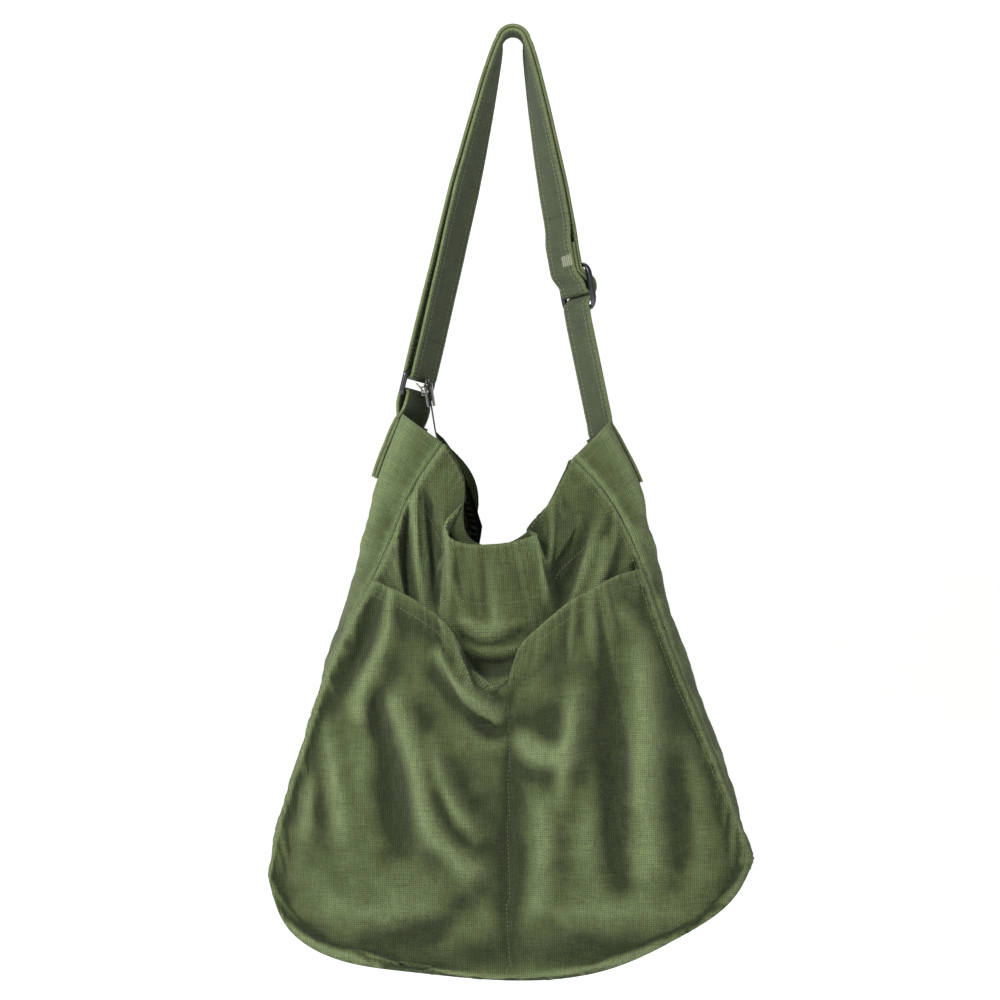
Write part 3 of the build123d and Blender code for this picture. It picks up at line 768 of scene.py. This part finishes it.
# front pocket, open along its sagging top and stitched down the middle
pocket = {
    "leftCorner": 0.33,
    "rightCorner": 0.30,
    "edge": [
        (-102, -469), (-80, -480), (-65.5, -490), (-52.7, -502), (-44, -516), (-36, -531), (-25, -543),
        (-12, -547), (-2, -537),
        (4, -520), (18, -504), (34, -490), (50, -478), (65, -470), (86, -459), (100, -455),
    ],
    "split": -4,
    "fullness": 17,
    "folds": [
        (8, 6, [(-106, -474), (-110, -515), (-126, -552), (-125, -570)]),
        (8, -5, [(-117, -486), (-136, -539), (-150, -556)]),
        (10, -8, [(-119, -556), (-112, -575), (-106, -592)]),
        (17, -8, [(-106, -596), (-101, -635), (-97, -680)]),
        (11, 9, [(-100, -566), (-86, -599), (-77, -635), (-64, -668), (-34, -698)]),
        (9, 6, [(-67, -595), (-53, -637), (-33, -670)]),
        (9, 4, [(-155, -585), (-147, -631), (-142, -672)]),
        (8, 4, [(-168, -620), (-172, -672)]),
        (7.5, 11, [(-62, -522), (-50, -538), (-34, -552), (-15, -566)]),
        (6.5, -9, [(-40, -530), (-26, -542), (-6, -544)]),
        (8, -7, [(-30, -572), (-10, -584), (4, -580)]),
        (12, 8, [(-10, -580), (10, -598), (26, -604), (42, -602), (52, -578)]),
        (10, 6, [(50, -556), (45, -600), (38, -640)]),
        (15, -9, [(80, -526), (84, -600), (84, -660), (86, -706)]),
        (14, -6, [(132, -616), (136, -660), (135, -706)]),
        (13, 6, [(108, -510), (112, -570), (110, -640)]),
        (12, 4, [(20, -632), (24, -680), (16, -730)]),
        (14, -4, [(-30, -720), (-60, -745), (-110, -752)]),
        (10, 3, [(60, -470), (88, -480), (104, -500)]),
    ],
}


def buildPocket():
    rows, cols = 104, 132
    left = partOf(leftLine, pocket["leftCorner"], 1, rows)
    right = partOf(rightLine, pocket["rightCorner"], 1, rows)
    top = smoothLine([tuple(left[0])] + pocket["edge"] + [tuple(right[0])], cols)
    flat = patch(top, spread(bottomLine, cols), left, right)
    x, z = flat[..., 0], flat[..., 1]
    xl, xr = seamsAt(z)
    split = pocket["split"]
    share = np.where(x < split, (x - xl) / (split - xl), (x - split) / (xr - split))
    full = np.sin(math.pi * np.clip(share, 0, 1)) ** 0.8
    drop = np.clip((z + 795) / 60, 0, 1)
    y = frontY(x, z) - 2.4 - pocket["fullness"] * full * drop
    grid = gridFrom(flat, y)
    down = insetOf(grid)[2]
    sideFree = pinned(grid, ("left", "right", "bottom"), 14)
    middle = 1 - 0.6 * np.exp(-((x - split) / 9) ** 2) * ease(down / 60)
    lift = 1.5 * foldHeight(x, z, pocket["folds"]) + 2.0 * cloudAt(grid, 46, 3) + 0.35 * cloudAt(grid, 15, 5)
    grid[..., 1] -= lift * sideFree * middle
    # the mouth's middle rolls in
    rolled = np.exp(-((x + 18) / 24) ** 2) * np.exp(-((down / 10) ** 2))
    grid[..., 1] += 9 * rolled
    grid = settle("frontPocket", grid)
    grid = seamShape(grid, 1, ("left", "right"), 0.3, 2)
    near = stitch["nearSeam"]
    sewPanel(
        "frontPocket", "front_pocket", grid, flat, 1, pocketHem,
        ("left", near), ("right", near), ("right", 8.5), ("top", 12),
    )
    # the stitched line between the two compartments
    k = np.abs(x - split).argmin(1)
    normal = gridNormals(grid, 1)
    line = np.array([grid[r, k[r]] - normal[r, k[r]] * 0.12 for r in range(12, rows)])
    bagStitches.append((spread(line, 300), np.tile([0.0, -1.0, 0.0], (300, 1))))


buildPocket()
print("front pocket ready")

# back panel
backCloth = {
    "mouth": [
        (-58.6, -348.5), (-37, -372), (-31, -400), (-33, -432), (0, -447), (30, -422), (42, -385), (51, -360.6),
    ],
    "folds": [
        (10, 5, [(-78, -400), (-92, -470), (-120, -560)]),
        (12, -6, [(-52, -440), (-70, -520), (-96, -600)]),
        (12, 6, [(66, -420), (84, -500), (112, -590)]),
        (10, -5, [(40, -450), (58, -530), (84, -610)]),
        (22, -6, [(-70, -520), (0, -560), (66, -520)]),
        (16, 6, [(-90, -560), (0, -604), (88, -556)]),
        (18, -5, [(-60, -640), (-30, -700), (-40, -750)]),
        (16, 5, [(50, -640), (60, -700), (40, -750)]),
    ],
}


def buildBackPanel():
    rows, cols = 116, 104
    top = smoothLine(backCloth["mouth"], cols)
    flat = patch(top, spread(bottomLine, cols), spread(leftLine, rows), spread(rightLine, rows))
    x, z = flat[..., 0], flat[..., 1]
    grid = gridFrom(flat, backY(x, z))
    free = pinned(grid, ("left", "right", "bottom"), 12)
    lift = foldHeight(x, z, backCloth["folds"]) + 2.4 * cloudAt(grid, 40, 7) + 0.8 * cloudAt(grid, 15, 9)
    grid[..., 1] += lift * free * 0.8
    grid = settle("backPanel", grid)
    grid = seamShape(grid, -1, ("left", "right", "bottom"), 0.3, 3)
    near = stitch["nearSeam"]
    sewPanel(
        "backPanel", "back_panel", grid, flat, -1, mouthHem,
        ("left", near), ("right", near), ("bottom", near), *mouthRows,
    )


buildBackPanel()
print("back panel ready")

# gussets and base: one boxing strip round the bag
boxing = {
    "left": [
        (0, 43, 32, 21), (0.06, 37, 27, 17), (0.13, 31, 22, 13), (0.20, 27, 20, 13), (0.27, 23, 18, 13),
        (0.36, 14, 13, 11),
        (0.46, 5, 7, 6), (0.60, 1, 2, 2), (0.78, 0, -3, -1), (0.90, 0, -2, 0), (1.0, 1, 1, 1),
    ],
    "right": [
        (0, 43, 32, 21), (0.06, 36, 26, 16), (0.13, 29, 20, 11), (0.20, 20, 16, 12), (0.30, 14, 13, 11),
        (0.42, 11, 11, 10),
        (0.56, 10, 9, 8), (0.72, 8, 6, 5), (0.88, 4, 2, 3), (1.0, 1, 1, 1),
    ],
    "base": [
        (0, 1, 1, 1), (0.06, 2, 3, 2), (0.12, 3, 4, 3), (0.20, 3, 5, 3), (0.3, 3, 6, 3), (0.7, 3, 6, 3),
        (0.80, 4, 6, 4),
        (0.88, 3, 5, 3), (0.95, 2, 3, 2), (1.0, 1, 1, 1),
    ],
}


def stripFrame(line, u, outward):
    # a seam point and the direction square to the seam in the front view
    at = u * (len(line) - 1)
    k = int(min(max(round(at), 1), len(line) - 2))
    along = unit(line[k + 1] - line[k - 1])
    p = partOf(line, u, u, 1)[0]
    return np.array([p[0], 0, p[1]]), np.array([along[1], 0, -along[0]]) * outward


def stripOffsets(places, u):
    table = np.array(places)
    return [np.interp(u, table[:, 0], table[:, i]) for i in (1, 2, 3)]


def stripGrid(line, places, outward, rows, cols):
    grid = np.zeros((rows, cols, 3))
    for r in range(rows):
        u = r / (rows - 1)
        seam, out = stripFrame(line, u, outward)
        near, middle, far = stripOffsets(places, u)
        edge = halfDepth(seam[2]) - 0.3
        shape = smoothLine([(-edge, 0), (-0.55 * edge, near), (0, middle), (0.55 * edge, far), (edge, 0)], cols)
        grid[r] = seam + shape[:, 1:] * out + np.stack([0 * shape[:, 0], shape[:, 0], 0 * shape[:, 0]], 1)
    return grid


def buildStrip(name, node, line, label, outward, cols, seed):
    turn = -outward
    grid = stripGrid(line, boxing[label], outward, 130, cols)
    flatLeft, _, flatTop, _ = insetOf(grid)
    flat = np.stack([flatLeft - flatLeft[:, -1:] / 2, flatTop.mean(1, keepdims=True) + 0 * flatTop], -1)
    free = pinned(grid, ("left", "right"), 10)
    # the patch that the strap is sewn to stays flat
    stiff = ease((flatTop - 50) / 25) if label != "base" else 1.0
    normal = gridNormals(grid, turn)
    lift = 2.2 * cloudAt(grid, 30, seed) + 0.7 * cloudAt(grid, 12, seed + 2)
    grid = grid + normal * (lift * free * stiff)[..., None]
    grid = seamShape(grid, turn, ("left", "right"), 0.25, seed)
    left, right, down, _ = insetOf(grid)
    edges = edgeWear(left, right, down, 0.5 if label != "base" else 0.0, 1, 1.4)
    if label != "base":
        sewRows(grid, turn, ("top", 2.5), ("top", 9))
    piece = clothMesh(name, grid, bag["canvas"], bodyCanvas, flat, wearAndShadeFrom(grid, turn, edges), turn)
    sewRows(grid, turn, ("left", stitch["nearSeam"]), ("right", stitch["nearSeam"]))
    addSheet(piece, flatOf(grid), "hung", ["front_panel", "back_panel"], node)


buildStrip("leftGusset", "left_gusset", leftLine, "left", 1, 38, 11)
buildStrip("rightGusset", "right_gusset", rightLine, "right", -1, 38, 13)
buildStrip("basePanel", "base_panel", bottomLine, "base", 1, 34, 15)
print("gussets and base ready")

# facings inside the mouth
facing = {"depth": 50, "inset": 3.2}


def lowered(points, drop):
    middle = (points[0][0] + points[-1][0]) / 2
    half = (points[-1][0] - points[0][0]) / 2
    moved = []
    for x, z in points:
        side = (x - middle) / half
        moved.append((x + side * (drop * 0.35 - facing["inset"]), z - drop * (1 - 0.25 * abs(side))))
    return moved


def buildFacing(name, mouth, depthOf, side, node):
    rows, cols = 16, 60
    upper = smoothLine(lowered(mouth, 1), cols)
    lower = smoothLine(lowered(mouth, facing["depth"]), cols)
    t = np.linspace(0, 1, rows)[:, None, None]
    flat = upper[None] * (1 - t) + lower[None] * t
    x, z = flat[..., 0], flat[..., 1]
    grid = gridFrom(flat, depthOf(x, z) - side * 3.8)
    grid[..., 1] += 0.5 * cloudAt(grid, 20, 21)
    piece = clothMesh(name, grid, bag["canvas"], shadedInsideCanvas, flat, wearAndShadeFrom(grid, side), -side)
    addSheet(piece, flatOf(grid), "hung", [node.replace("_mouth_facing", "_panel")], node)


buildFacing("frontMouthFacing", frontCloth["mouth"], frontY, -1, "front_mouth_facing")
buildFacing("backMouthFacing", backCloth["mouth"], backY, 1, "back_mouth_facing")
print("facings ready")

# shoulder strap
strap = {
    "width": 38.0,
    "thick": 3.0,
    "leafGap": 0.3,
    "hookRadius": 9.0,
    "leftLean": 13.3,
    "rightLean": 10.2,
    "flare": 31,
    "flareEnd": 130,
    "leftLeg": 301,
    "adjusterDrop": 213.5,
    "adjusterOut": 5.5,
    "loopHeight": 32,
    "runAbove": 62,
    "runBelow": 34,
    "endSpread": 0.6,
    "stitchInsets": (2.2, 7.0),
}
hook = np.array([0, 0, -strap["hookRadius"]])
middleRadius = strap["hookRadius"] + strap["thick"] + strap["leafGap"] / 2
leaf = (strap["thick"] + strap["leafGap"]) / 2
ringWire = 2.25
ringLeaf = ringWire + 0.35 + strap["thick"] / 2
ringHeight = 23
ringBar = ringHeight / 2 - ringWire
barLeaf = 2.0 + 0.35 + strap["thick"] / 2
nearY = np.array([0.0, -1.0, 0.0])


def legAxes(side, lean, turn):
    a, f = math.radians(lean), math.radians(turn)
    out = np.array([side * math.cos(a), 0, math.sin(a)])
    up = np.array([-side * math.sin(a), 0, math.cos(a)])
    return out, up, nearY * math.cos(f) + out * math.sin(f), out * math.cos(f) - nearY * math.sin(f)


def turnAt(d):
    return strap["flare"] * min(max(d / strap["flareEnd"], 0), 1) ** 0.6


def legStation(side, lean, d, offset):
    out, up, wide, normal = legAxes(side, lean, turnAt(d))
    return np.concatenate([hook + out * middleRadius - up * d + normal * offset, wide, normal])


_, leftUp, leftWide, leftNormal = legAxes(-1, strap["leftLean"], strap["flare"])
leftOut = legAxes(-1, strap["leftLean"], 0)[0]
ringCentre = hook + leftOut * middleRadius - leftUp * strap["leftLeg"]
loopTop = strap["leftLeg"] - ringBar - strap["loopHeight"]
_, rightUp, rightWide, rightNormal = legAxes(1, strap["rightLean"], strap["flare"])
rightOut = legAxes(1, strap["rightLean"], 0)[0]
adjusterCentre = hook + rightOut * middleRadius - rightUp * strap["adjusterDrop"] + rightNormal * strap["adjusterOut"]
runTop = strap["adjusterDrop"] - strap["runAbove"]


def leafStations(sign):
    made = []
    for d in np.linspace(loopTop, 0, 120)[:-1]:
        made.append(legStation(-1, strap["leftLean"], d, sign * mix(leaf, ringLeaf, (d / loopTop) ** 1.5)))
    for a in np.linspace(-90 + strap["leftLean"], 90 - strap["rightLean"], 40):
        angle = math.radians(a)
        out = np.array([math.sin(angle), 0, math.cos(angle)])
        made.append(np.concatenate([hook + out * (middleRadius + sign * leaf), nearY, out]))
    for d in np.linspace(0, runTop, 70)[1:]:
        made.append(legStation(1, strap["rightLean"], d, sign * mix(leaf, leaf + strap["endSpread"], d / runTop)))
    return np.array(made)


def ripple(stations, size, seed):
    # small unevenness of a sewn band, none at its ends
    centre = stations[:, :3]
    run = runOf(centre)
    ends = ease(run / 20) * ease((run[-1] - run) / 20)
    wave = np.sin(run / 17 + seed) * 0.6 + np.sin(run / 7.3 + 2 * seed) * 0.4
    moved = stations.copy()
    moved[:, :3] += stations[:, 6:] * (wave * ends * size)[:, None]
    return moved


def bandRows(stations, faces=(1, -1)):
    rows = []
    centre, side, normal = (stations[:, i:i + 3] for i in (0, 3, 6))
    for inset in strap["stitchInsets"]:
        for hand in (-1, 1):
            for face in faces:
                out = normal * face
                across = side * hand * (strap["width"] / 2 - inset)
                rows.append((centre + across + out * (strap["thick"] / 2 * 0.9 + 0.05), out))
    return rows


def joinPieces(name, pieces):
    with bpy.context.temp_override(
        active_object=pieces[0], selected_objects=pieces, selected_editable_objects=pieces,
    ):
        bpy.ops.object.join()
    pieces[0].name = name
    pieces[0].data.name = name
    return pieces[0]


def strapBand(name, stations):
    return bandMesh(name, stations, strap["width"], strap["thick"], strapCanvas)


def sewBand(name, rows):
    return layAlong(name, rows, stitch["spacing"], stitch["strap"], strapThread)


outerLeaf = ripple(leafStations(1), 0.14, 1)
innerLeaf = ripple(leafStations(-1), 0.14, 1)
shoulderStrap = joinPieces("shoulderStrap", [
    strapBand("outerLeaf", outerLeaf),
    strapBand("innerLeaf", innerLeaf),
])
strapStitches = sewBand("shoulderStrapStitches", bandRows(outerLeaf) + bandRows(innerLeaf))


def loopStations(barAt, way, rises):
    # down one side, round a bar of the ring, and back up the other side
    sides = []
    for hand in (leftNormal, -leftNormal):
        rough = [ringCentre + hand * ringLeaf + leftUp * (barAt + way * v) for v in rises]
        sides.append([np.concatenate([centre, leftWide, hand]) for centre in rough])
    made = sides[0]
    for a in np.linspace(0, math.pi, 25):
        turned = leftNormal * math.cos(a) - leftUp * (way * math.sin(a))
        made.append(np.concatenate([ringCentre + leftUp * barAt + turned * ringLeaf, leftWide, turned]))
    return np.array(made + sides[1][::-1])


loop = loopStations(ringBar, 1, np.linspace(strap["loopHeight"], 1, 16))
ringLoop = strapBand("strapRingLoop", loop)
loopStitches = sewBand("ringLoopStitches", bandRows(loop))
print("strap ready")

# strap through the adjuster: out from the metal, up the leg
pitch = strap["thick"] + 0.35
halfBar = 2.25
adjusterHeight, adjusterWire = 41, 4.5
outerBar = (adjusterHeight - 3 * adjusterWire) / 2 + adjusterWire
runOut = -strap["adjusterOut"] + leaf + strap["endSpread"]
sewnOut = -strap["adjusterOut"] - leaf - strap["endSpread"]
roundBar = barLeaf + pitch
foldEnd = 38
running = [
    (runOut, strap["runAbove"]), (runOut, strap["runAbove"] - 18), (-barLeaf, outerBar + 12),
    (-barLeaf, outerBar + 2),
    (-barLeaf, outerBar - 1.7), (-barLeaf + 0.95, outerBar - 4.1), (0, 4.7 + 2 * pitch),
    (roundBar - 4.1, 1.8 + 2 * pitch),
    (roundBar - 1.2, halfBar + pitch), (roundBar - 0.2, halfBar + 0.8), (roundBar, 0),
    (roundBar * 0.924, -roundBar * 0.383),
    (roundBar * 0.72, -roundBar * 0.76), (roundBar * 0.36, -roundBar * 1.12), (0, -roundBar * 1.45),
    (-barLeaf + 1.2, -outerBar + 5.4), (-barLeaf + 0.1, -outerBar + 3), (-barLeaf, -outerBar),
    (-barLeaf - 0.1, -outerBar - 7),
    (-barLeaf, -strap["runBelow"]),
]
sewn = [
    (sewnOut, strap["runAbove"]), (sewnOut - 0.9, strap["runAbove"] - 12),
    (-barLeaf - 2 * pitch + 0.1, foldEnd + 3),
    (-barLeaf - 2 * pitch - 0.1, foldEnd - 8), (-barLeaf - 2 * pitch - 0.1, outerBar),
    (-barLeaf - 2 * pitch + 0.6, outerBar - 5.2),
    (-barLeaf - pitch - 0.8, outerBar - 9), (-barLeaf - 2.1, 6.2), (-barLeaf - 0.5, 3.2),
]
wrap = [(-barLeaf * math.cos(a), -(barLeaf + 0.9) * math.sin(a)) for a in np.linspace(0, math.pi, 7)]
foldBack = [
    (barLeaf, 1.5), (barLeaf - 0.45, 3.2), (barLeaf - 1.55, 4.75), (0, 3.45 + pitch),
    (-barLeaf + 0.5, outerBar - 8.2),
    (-barLeaf - pitch + 1.3, outerBar - 5.8), (-barLeaf - pitch + 0.2, outerBar - 3.6),
    (-barLeaf - pitch, outerBar - 0.7),
    (-barLeaf - pitch, outerBar + 8), (-barLeaf - pitch + 0.25, foldEnd),
]


def profileStations(profile, count):
    path = smoothLine(profile, count)
    along = unit(np.gradient(path, axis=0))
    made = []
    for (n, v), (tn, tv) in zip(path, along):
        turned = unit(rightNormal * -tv + rightUp * tn)
        made.append(np.concatenate([adjusterCentre + rightNormal * n + rightUp * v, rightWide, turned]))
    return np.array(made)


runBand = profileStations(running, 110)
sewnBand = profileStations(sewn + wrap + foldBack, 130)
adjusterRun = strapBand("strapAdjusterRun", runBand)
endFold = strapBand("strapEndFold", sewnBand)
adjusterStitches = sewBand("adjusterRunStitches", bandRows(runBand) + bandRows(sewnBand))


# a bar tack holds the end that comes back up from the middle bar
def barTack():
    rows = []
    for k in range(9):
        v = outerBar + 1.5 + k * 1.0
        base = adjusterCentre + rightUp * v + rightNormal * (-barLeaf - 2 * pitch - strap["thick"] / 2 - 0.2)
        line = np.array([base + rightWide * w for w in np.linspace(5, 17.5, 8)])
        rows.append((line, np.tile(-rightNormal, (8, 1))))
    return layAlong("adjusterBarTack", rows, 2.6, (2.6, 0.9, 0.7), barTackThread)


tack = barTack()
print("adjuster run ready")


# the sewn tab on the right and the ring's chape on the left
def patchStation(line, places, outward, u, outBy, turned=1):
    seam, out = stripFrame(line, u, outward)
    near, middle, far = stripOffsets(places, u)
    edge = halfDepth(seam[2]) - 2.1
    a = seam + out * near + nearY * 0.55 * edge
    b = seam + out * far - nearY * 0.55 * edge
    wide = unit(a - b)
    normal = unit(out - wide * out.dot(wide))
    return np.concatenate([(a + b) / 2 + normal * outBy, wide, normal * turned])


def smoothStations(rough, count):
    line = smoothLine(rough[:, :3], count)
    reach = runOf(rough[:, :3])
    at = runOf(line)
    at *= reach[-1] / at[-1]
    along = unit(np.gradient(line, axis=0))
    wide = np.stack([np.interp(at, reach, rough[:, i]) for i in (3, 4, 5)], 1)
    wide = unit(wide - along * (wide * along).sum(-1, keepdims=True))
    old = np.stack([np.interp(at, reach, rough[:, i]) for i in (6, 7, 8)], 1)
    normal = np.cross(along, wide)
    normal *= np.sign((normal * old).sum(-1, keepdims=True))
    return np.concatenate([line, wide, normal], 1)


tabPlaces = (0.0, 0.03, 0.06, 0.095, 0.13)
onGusset = strap["thick"] / 2 + 1.0
rightPatch = np.array([patchStation(rightLine, boxing["right"], -1, u, onGusset) for u in tabPlaces])
runEnd = adjusterCentre - rightNormal * barLeaf - rightUp * strap["runBelow"]
legEnd = np.concatenate([runEnd, rightWide, rightNormal])
between = np.array([mix(legEnd, rightPatch[0], t) for t in np.linspace(0, 1, 12)[:-1]])
tabBand = smoothStations(np.concatenate([between, rightPatch]), 90)
tabEnd = strapBand("strapTabEnd", tabBand)
tabRows = bandRows(tabBand)


def endRows(station, along, count=2):
    # stitches straight across a sewn end
    rows = []
    centre, wide, normal = station[:3], station[3:6], station[6:]
    for k in range(count):
        base = centre + along * (2.5 + 5 * k) + normal * (strap["thick"] / 2)
        rows.append((np.array([base + wide * w for w in np.linspace(-16, 16, 14)]), np.tile(normal, (14, 1))))
    return rows


tabRows += endRows(tabBand[-1], unit(tabBand[-2, :3] - tabBand[-1, :3]))
tabStitches = sewBand("tabEndStitches", tabRows)

overInner = onGusset + strap["thick"] + 0.3
outerPatch = np.array([patchStation(leftLine, boxing["left"], 1, u, overInner) for u in tabPlaces])
innerPatch = np.array([patchStation(leftLine, boxing["left"], 1, u, onGusset, -1) for u in tabPlaces])
chapeLoop = loopStations(-ringBar, -1, np.linspace(6, 1, 4))
chapeStart = smoothStations(np.concatenate([outerPatch[::-1], chapeLoop[:4]]), 40)
chapeEnd = smoothStations(np.concatenate([chapeLoop[-4:], innerPatch]), 40)
chapeBand = np.concatenate([chapeStart[:-1], chapeLoop[3:-3], chapeEnd[1:]])
chape = strapBand("ringChape", chapeBand)
chapeRows = bandRows(chapeStart, (1,))
chapeRows += endRows(chapeBand[0], unit(chapeBand[1, :3] - chapeBand[0, :3]))
chapeStitches = sewBand("ringChapeStitches", chapeRows)


def buildBacking(name, line, side, outward):
    rough = np.array([patchStation(line, boxing[side], outward, u, -4.2) for u in tabPlaces])
    stations = smoothStations(rough, 16)
    piece = bandMesh(name, stations, strap["width"] - 4, 1.6, shadedInsideCanvas)
    addSheet(piece, ((0.034, 0.055), None), "laid", [side + "_gusset"], side + "_tab_backing")


buildBacking("leftTabBacking", leftLine, "left", 1)
buildBacking("rightTabBacking", rightLine, "right", -1)
print("tabs ready")

# zip tapes and coils, from the loose tail round inside the mouth
zipper = {
    "inset": 21,
    "tapeWidth": 8.5,
    "tapeThick": 0.7,
    "tapeStart": 3.5,
    "coilMiddle": 2.2,
    "tailX": -70.6,
    "tailY": -10.3,
    "tailSlope": 0.16,
    "tailTop": -294,
    "tailLow": -338,
    "sliderHeight": -307.3,
}
zipDepth = 2 * bag["canvas"] + 2.0  # behind the panel and its facing


def tailStation(t, side):
    z = mix(zipper["tailTop"], zipper["tailLow"], t)
    normal = unit(np.array([-1, 0, -zipper["tailSlope"]]))
    centre = (zipper["tailX"] + zipper["tailSlope"] * (zipper["sliderHeight"] - z), zipper["tailY"], z)
    return np.concatenate([centre, -nearY * side, normal])


def zipLine(mouth, side, depthOf):
    tail = [tailStation(t, side) for t in np.linspace(0, 1, 9)]
    edge = smoothLine(lowered(mouth, zipper["inset"]), 200)
    inside = []
    for u in np.linspace(0.26, 0.94, 28):
        k = int(u * 199)
        p, along = edge[k], unit(edge[k + 1] - edge[k - 1])
        up = np.array([-along[1], 0, along[0]])
        place = np.array([p[0], depthOf(p[0], p[1]) - side * zipDepth, p[1]])
        place = place - up * (zipper["tapeStart"] + zipper["tapeWidth"] / 2)
        inside.append(np.concatenate([place, up, -nearY * side]))
    bridge = []
    for k in range(1, 15):
        t = k / 15
        station = mix(tail[-1], inside[0], t)
        turned = mix(tail[-1], inside[0], t**0.5)
        bridge.append(np.concatenate([station[:3], unit(turned[3:6]), unit(turned[6:])]))
    return np.array(tail + bridge + inside)


def shifted(stations, offset):
    moved = stations.copy()
    moved[:, :3] += stations[:, 3:6] * offset
    return moved


for label, mouth, side, depthOf in (
    ("front", frontCloth["mouth"], -1, frontY), ("back", backCloth["mouth"], 1, backY),
):
    line = zipLine(mouth, side, depthOf)
    tapeLine = shifted(line, zipper["tapeStart"] + zipper["tapeWidth"] / 2)
    tape = bandMesh(label + "ZipTape", tapeLine, zipper["tapeWidth"] - 0.2, zipper["tapeThick"], tapeCloth)
    teethLine = shifted(line, zipper["coilMiddle"])
    teeth = layAlong(label + "ZipCoil", [(teethLine[:, :3], teethLine[:, 6:])], 1.25, (0.95, 2.1, 1.7), nylonCoil)
    addSheet(tape, ((0.0085, 0.2), None), "hung", [label + "_mouth_facing"], label + "_zip_tape")
    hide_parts(label + "_zip_coil")
    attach(teeth, "bag")
print("zip ready")

seamStitches = layAlong("seamStitches", bagStitches, stitch["spacing"], stitch["body"], sewingThread)

# the metal pieces keep their shapes and get their finish
for node, material in (
    ("strap_ring", gunmetal), ("strap_adjuster", gunmetal), ("zip_slider", zipMetal), ("zip_pull", zipMetal),
    ("zip_bottom_stop", zipMetal), ("zip_top_stops", zipMetal),
):
    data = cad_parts[node].data
    data.materials.clear()
    data.materials.append(material)

# what each piece moves with
for piece in [sheet[0] for sheet in sheets] + [chape, chapeStitches, seamStitches]:
    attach(piece, "bag")
for piece in (adjusterRun, endFold, adjusterStitches, tack):
    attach(piece, "adjuster")
legTop = hook + rightOut * middleRadius
barTop = ringCentre + leftUp * ringBar
for pieces, first, second, start, stop in (
    ((shoulderStrap, strapStitches), "bag", "adjuster", legTop - rightUp * 4, legTop - rightUp * runTop),
    ((tabEnd, tabStitches), "adjuster", "bag", legEnd[:3], rightPatch[0][:3]),
    ((ringLoop, loopStitches), "bag", "ring", barTop + leftUp * strap["loopHeight"], barTop + leftUp * 3),
):
    for piece in pieces:
        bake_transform(piece)

strapNodes = {
    shoulderStrap: ["shoulder_strap", "strap_right_leg"], ringLoop: ["strap_ring_loop"],
    adjusterRun: ["strap_adjuster_run"], endFold: ["strap_end_fold"], tabEnd: ["strap_tab_end"],
    chape: ["ring_chape"],
}
for piece, nodes in strapNodes.items():
    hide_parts(*nodes)

# the straps' webbing sizes, as sewn: leaf by leaf along the middle
def lengthOf(stations):
    return float(runOf(stations[:, :3])[-1]) * mm


bands = (
    (shoulderStrap, lengthOf(outerLeaf) + lengthOf(innerLeaf), ["ring_chape"]),
    (ringLoop, lengthOf(loop), ["strap_ring"]),
    (adjusterRun, lengthOf(runBand), ["strap_adjuster"]),
    (endFold, lengthOf(sewnBand), ["strap_adjuster"]),
    (tabEnd, lengthOf(tabBand), ["right_gusset"]),
    (chape, lengthOf(chapeBand), ["left_gusset"]),
)
for piece, length, rests in bands:
    flat = (strap["width"] * mm, round(length, 3))
    print(piece.name, "flat", flat)

# cloth sizes, as cut
for piece, flat, area, held, rests in sheets:
    print(piece.name, "flat", flat, "area", None if area is None else round(area, 4))
    if area is None:
        continue
